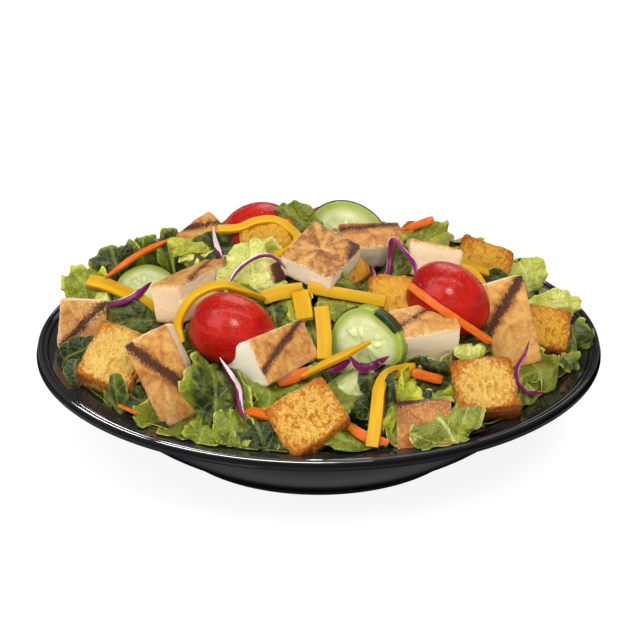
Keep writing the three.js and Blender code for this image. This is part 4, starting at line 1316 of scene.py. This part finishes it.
leafVeins = makeLeafVeins()
# rim sets the strength of a pale line painted along each leaf's margin as a highlight
leafColors = {
    "romaine": {"pale": (0.43, 0.42, 0.034), "mid": (0.140, 0.165, 0.007), "dark": (0.012, 0.021, 0.003),
                "vein": (0.48, 0.50, 0.10), "edge": -0.1, "rim": 0.35, "veins": 0.2},
    "iceberg": {"pale": (0.66, 0.65, 0.20), "mid": (0.41, 0.43, 0.05), "dark": (0.14, 0.16, 0.010),
                "vein": (0.84, 0.81, 0.34), "edge": 0.1, "rim": 0.5, "veins": 0.36},
    "frilly": {"pale": (0.49, 0.49, 0.034), "mid": (0.165, 0.20, 0.008), "dark": (0.011, 0.021, 0.003),
               "vein": (0.56, 0.59, 0.12), "edge": -0.4, "rim": 0.75, "veins": 0.17},
}


def leafMaterial(kind):
    c = leafColors[kind]
    material, home, reach, tone = foodMaterial(
        kind + "Leaf", "reach", "tone", inside=(0.2, (1.0, 0.95, 0.1), 0.001),
        Roughness=0.36, Specular_IOR_Level=0.32, Coat_Weight=0.08, Coat_Roughness=0.2,
    )
    inputs = {"Home": home, "Spacing": leafVeinSpacing}
    veins = put(home.id_data, "ShaderNodeGroup", inputs, node_tree=leafVeins).outputs
    patches = mottled(home, 6.0, 0.3, 0.7)
    blisters = mottled(home, 2.4, 0.3, 0.7)["Patch"]
    margin = times(ease(reach, 0.62, 1.0), c["edge"])
    shade = plus(tone, swing(patches["Patch"], 0.3), swing(blisters, 0.14), margin)
    color = blend(c["pale"], c["mid"], ease(shade, 0.0, 0.5))
    color = blend(color, c["dark"], ease(shade, 0.45, 1.0))
    color = blend(color, c["vein"], veins["Vein"], c["veins"])
    color = blend(color, c["vein"], veins["Net"], 0.06)
    # painted highlight: a thin pale line along each leaf's margin, as if its edge caught the light
    color = blend(color, c["vein"], ease(reach, 0.94, 1.0), c["rim"])
    height = plus(plus(veins["Vein"], times(veins["Net"], -0.6)), plus(times(patches["Fine"], 0.6), blisters))
    return dress(material, color, height, 0.6, 0.0007)


def makeLeaves():
    for number, entry in enumerate(heroLeaves):
        addLeaf(entry, 900 + number * 7)
    for layer in fillLayers:
        for number, entry in enumerate(fillerLeaves(layer)):
            addLeaf(entry, layer["seed"] + number * 7)
    materials = {kind: leafMaterial(kind) for kind in leafKinds}
    for name, parts in leafStore.items():
        starts = np.cumsum([0] + [len(part["places"]) for part in parts])
        faces = [face for key in ("quads", "tris") for part, start in zip(parts, starts)
                 for face in (part[key] + start).tolist()]
        fields = ("places", "home", "reach", "tone")
        joined = {key: np.concatenate([part[key] for part in parts]) for key in fields}
        leaves = makePiece(name, joined.pop("places") * mm, faces)
        setValues(leaves, **joined)
        material = materials[name.removesuffix("Under").removesuffix("Back")]
        finishPiece(leaves, name + "_leaves", material, ["lettuce_heap"])
        print(name, "leaves:", len(faces), "faces")


coreLook = {"sink": 6.5, "lump": 2.2, "reach": 95, "rings": 64, "spokes": 200}


def coreMaterial():
    material, home = foodMaterial("deepLeafPaintedShade", Roughness=0.5, Specular_IOR_Level=0.3)
    patches = mottled(home, 9.0, 0.4, 0.62)
    # painted shade: near-black greens stand for the shade deep in the heap
    color = blend((0.006, 0.012, 0.003), (0.030, 0.055, 0.010), patches["Patch"])
    return dress(material, color, patches["Fine"], 0.6, 0.001)


def makeCore():
    # crumpled leaves a little under the heap's surface, down to the bowl, painted near-black as the shade in
    # the gaps between the leaves above
    rings, spokes = coreLook["rings"], coreLook["spokes"]
    reach = coreLook["reach"] * np.linspace(0, 1, rings + 1)[1:, None]
    turn = np.linspace(0, 2 * np.pi, spokes, endpoint=False)
    x, y = np.r_[(reach * np.cos(turn)).ravel(), 0], np.r_[(reach * np.sin(turn)).ravel(), 0]
    away = np.hypot(x, y)
    curve = bowlCurve(bowlShape["wall"], 40)
    floor = bowlShape["recess"] + bowlShape["wall"]
    bottom = np.maximum(np.interp(away, curve[:, 0], curve[:, 1]), floor) + 0.8
    flat = np.c_[x, y, np.zeros(len(x))]
    lump = coreLook["lump"] * (noiseAt(flat, 8, 5) + 0.6 * noiseAt(flat, 3.5, 6))
    sink = coreLook["sink"] * (1 + 0.6 * smoothStep(10, 40, y) * (1 + smoothStep(60, 85, away)))
    top = keepClear(np.c_[x, y, heapSurface(x, y) - sink + lump], ())
    top[:, 2] = np.maximum(top[:, 2], bottom + 1.5)
    quads, tris = closedFaces(rings, spokes)
    core = makePiece("core", np.vstack([top, np.c_[x, y, bottom]]) * mm, quads.tolist() + tris.tolist())
    setValues(core, home=points(core) / mm)
    finishPiece(core, "leaf_core", coreMaterial(), ["lettuce_heap"])


makeCore()
makeLeaves()
print("lettuce made")

# floor and light

studio = {
    "floorSize": 6, "floorColor": (0.22, 0.22, 0.22, 1), "floorGlow": 0.885, "aim": (0, 0, 0.05),
    "worldStrength": 0.10, "worldHorizon": 1.0, "worldUnder": 0.25, "worldDark": 0.005,
    "lamps": {
        "key": {"location": (-0.70, -0.75, 0.95), "size": (0.90, 0.90), "power": 9.3},
        "front": {"location": (0.25, -1.00, 1.05), "size": (0.36, 0.36), "power": 9.2},
        "fill": {"location": (0.10, -1.60, 0.30), "size": (1.40, 0.50), "power": 7.0, "mirrored": False},
        "rear": {"location": (0.25, 1.00, 1.05), "size": (0.80, 0.80), "power": 7},
        "strip": {"location": (0, -0.20, 1.35), "size": (2.20, 0.22), "power": 10},
        "gloss": {"location": (-0.45, -0.55, 1.20), "size": (1.40, 0.35), "power": 170, "only": "bowl_shell"},
        "glossLeft": {"location": (-1.19, 0.28, 1.04), "size": (1.20, 0.20), "power": 90,
                      "only": "bowl_shell"},
    },
}


def addFloor():
    deselectAll()
    bpy.ops.mesh.primitive_plane_add(size=studio["floorSize"])
    floor = bpy.context.object
    floor.name = "floor"
    floor.data.materials.append(plainMaterial(
        "paleFloor", Base_Color=studio["floorColor"], Roughness=0.8, Specular_IOR_Level=0.0,
        Emission_Color=(1, 1, 1, 1), Emission_Strength=studio["floorGlow"],
    ))
    floor.visible_glossy = False  # the bowl mirrors the dark beyond, not the bright floor


def addWorld():
    # dark overhead and beside the floor, with a bright band at the horizon for the bowl to mirror
    world = bpy.data.worlds.new("studioLight")
    bpy.context.scene.world = world
    world.use_nodes = True
    tree = world.node_tree
    background = tree.nodes["Background"].inputs
    background["Color"].default_value = (1, 1, 1, 1)
    direction = put(tree, "ShaderNodeTexCoord").outputs["Generated"]
    height = put(tree, "ShaderNodeSeparateXYZ", {"Vector": direction}).outputs["Z"]
    below = ease(height, -0.62, -0.9, studio["worldDark"], studio["worldUnder"])
    above = ease(height, 0.22, 0.1, studio["worldStrength"], studio["worldHorizon"])
    feed(background["Strength"], calc("MAXIMUM", below, times(above, ease(height, -0.05, 0))))


def addLamps():
    for name, lamp in studio["lamps"].items():
        turn = turnTowards(lamp["location"], studio["aim"])
        bpy.ops.object.light_add(type="AREA", location=lamp["location"], rotation=turn)
        light = bpy.context.object
        light.name = name + "Light"
        light.data.shape = "RECTANGLE"
        light.data.size, light.data.size_y = lamp["size"]
        light.data.energy = lamp["power"]
        light.visible_glossy = lamp.get("mirrored", True)
        if "only" in lamp:
            lit = bpy.data.collections.new(name + "Lit")
            lit.objects.link(bpy.data.objects[lamp["only"]])
            light.light_linking.receiver_collection = lit


addFloor()
addWorld()
addLamps()
bpy.context.scene.view_settings.view_transform = "Standard"
print("studio made")
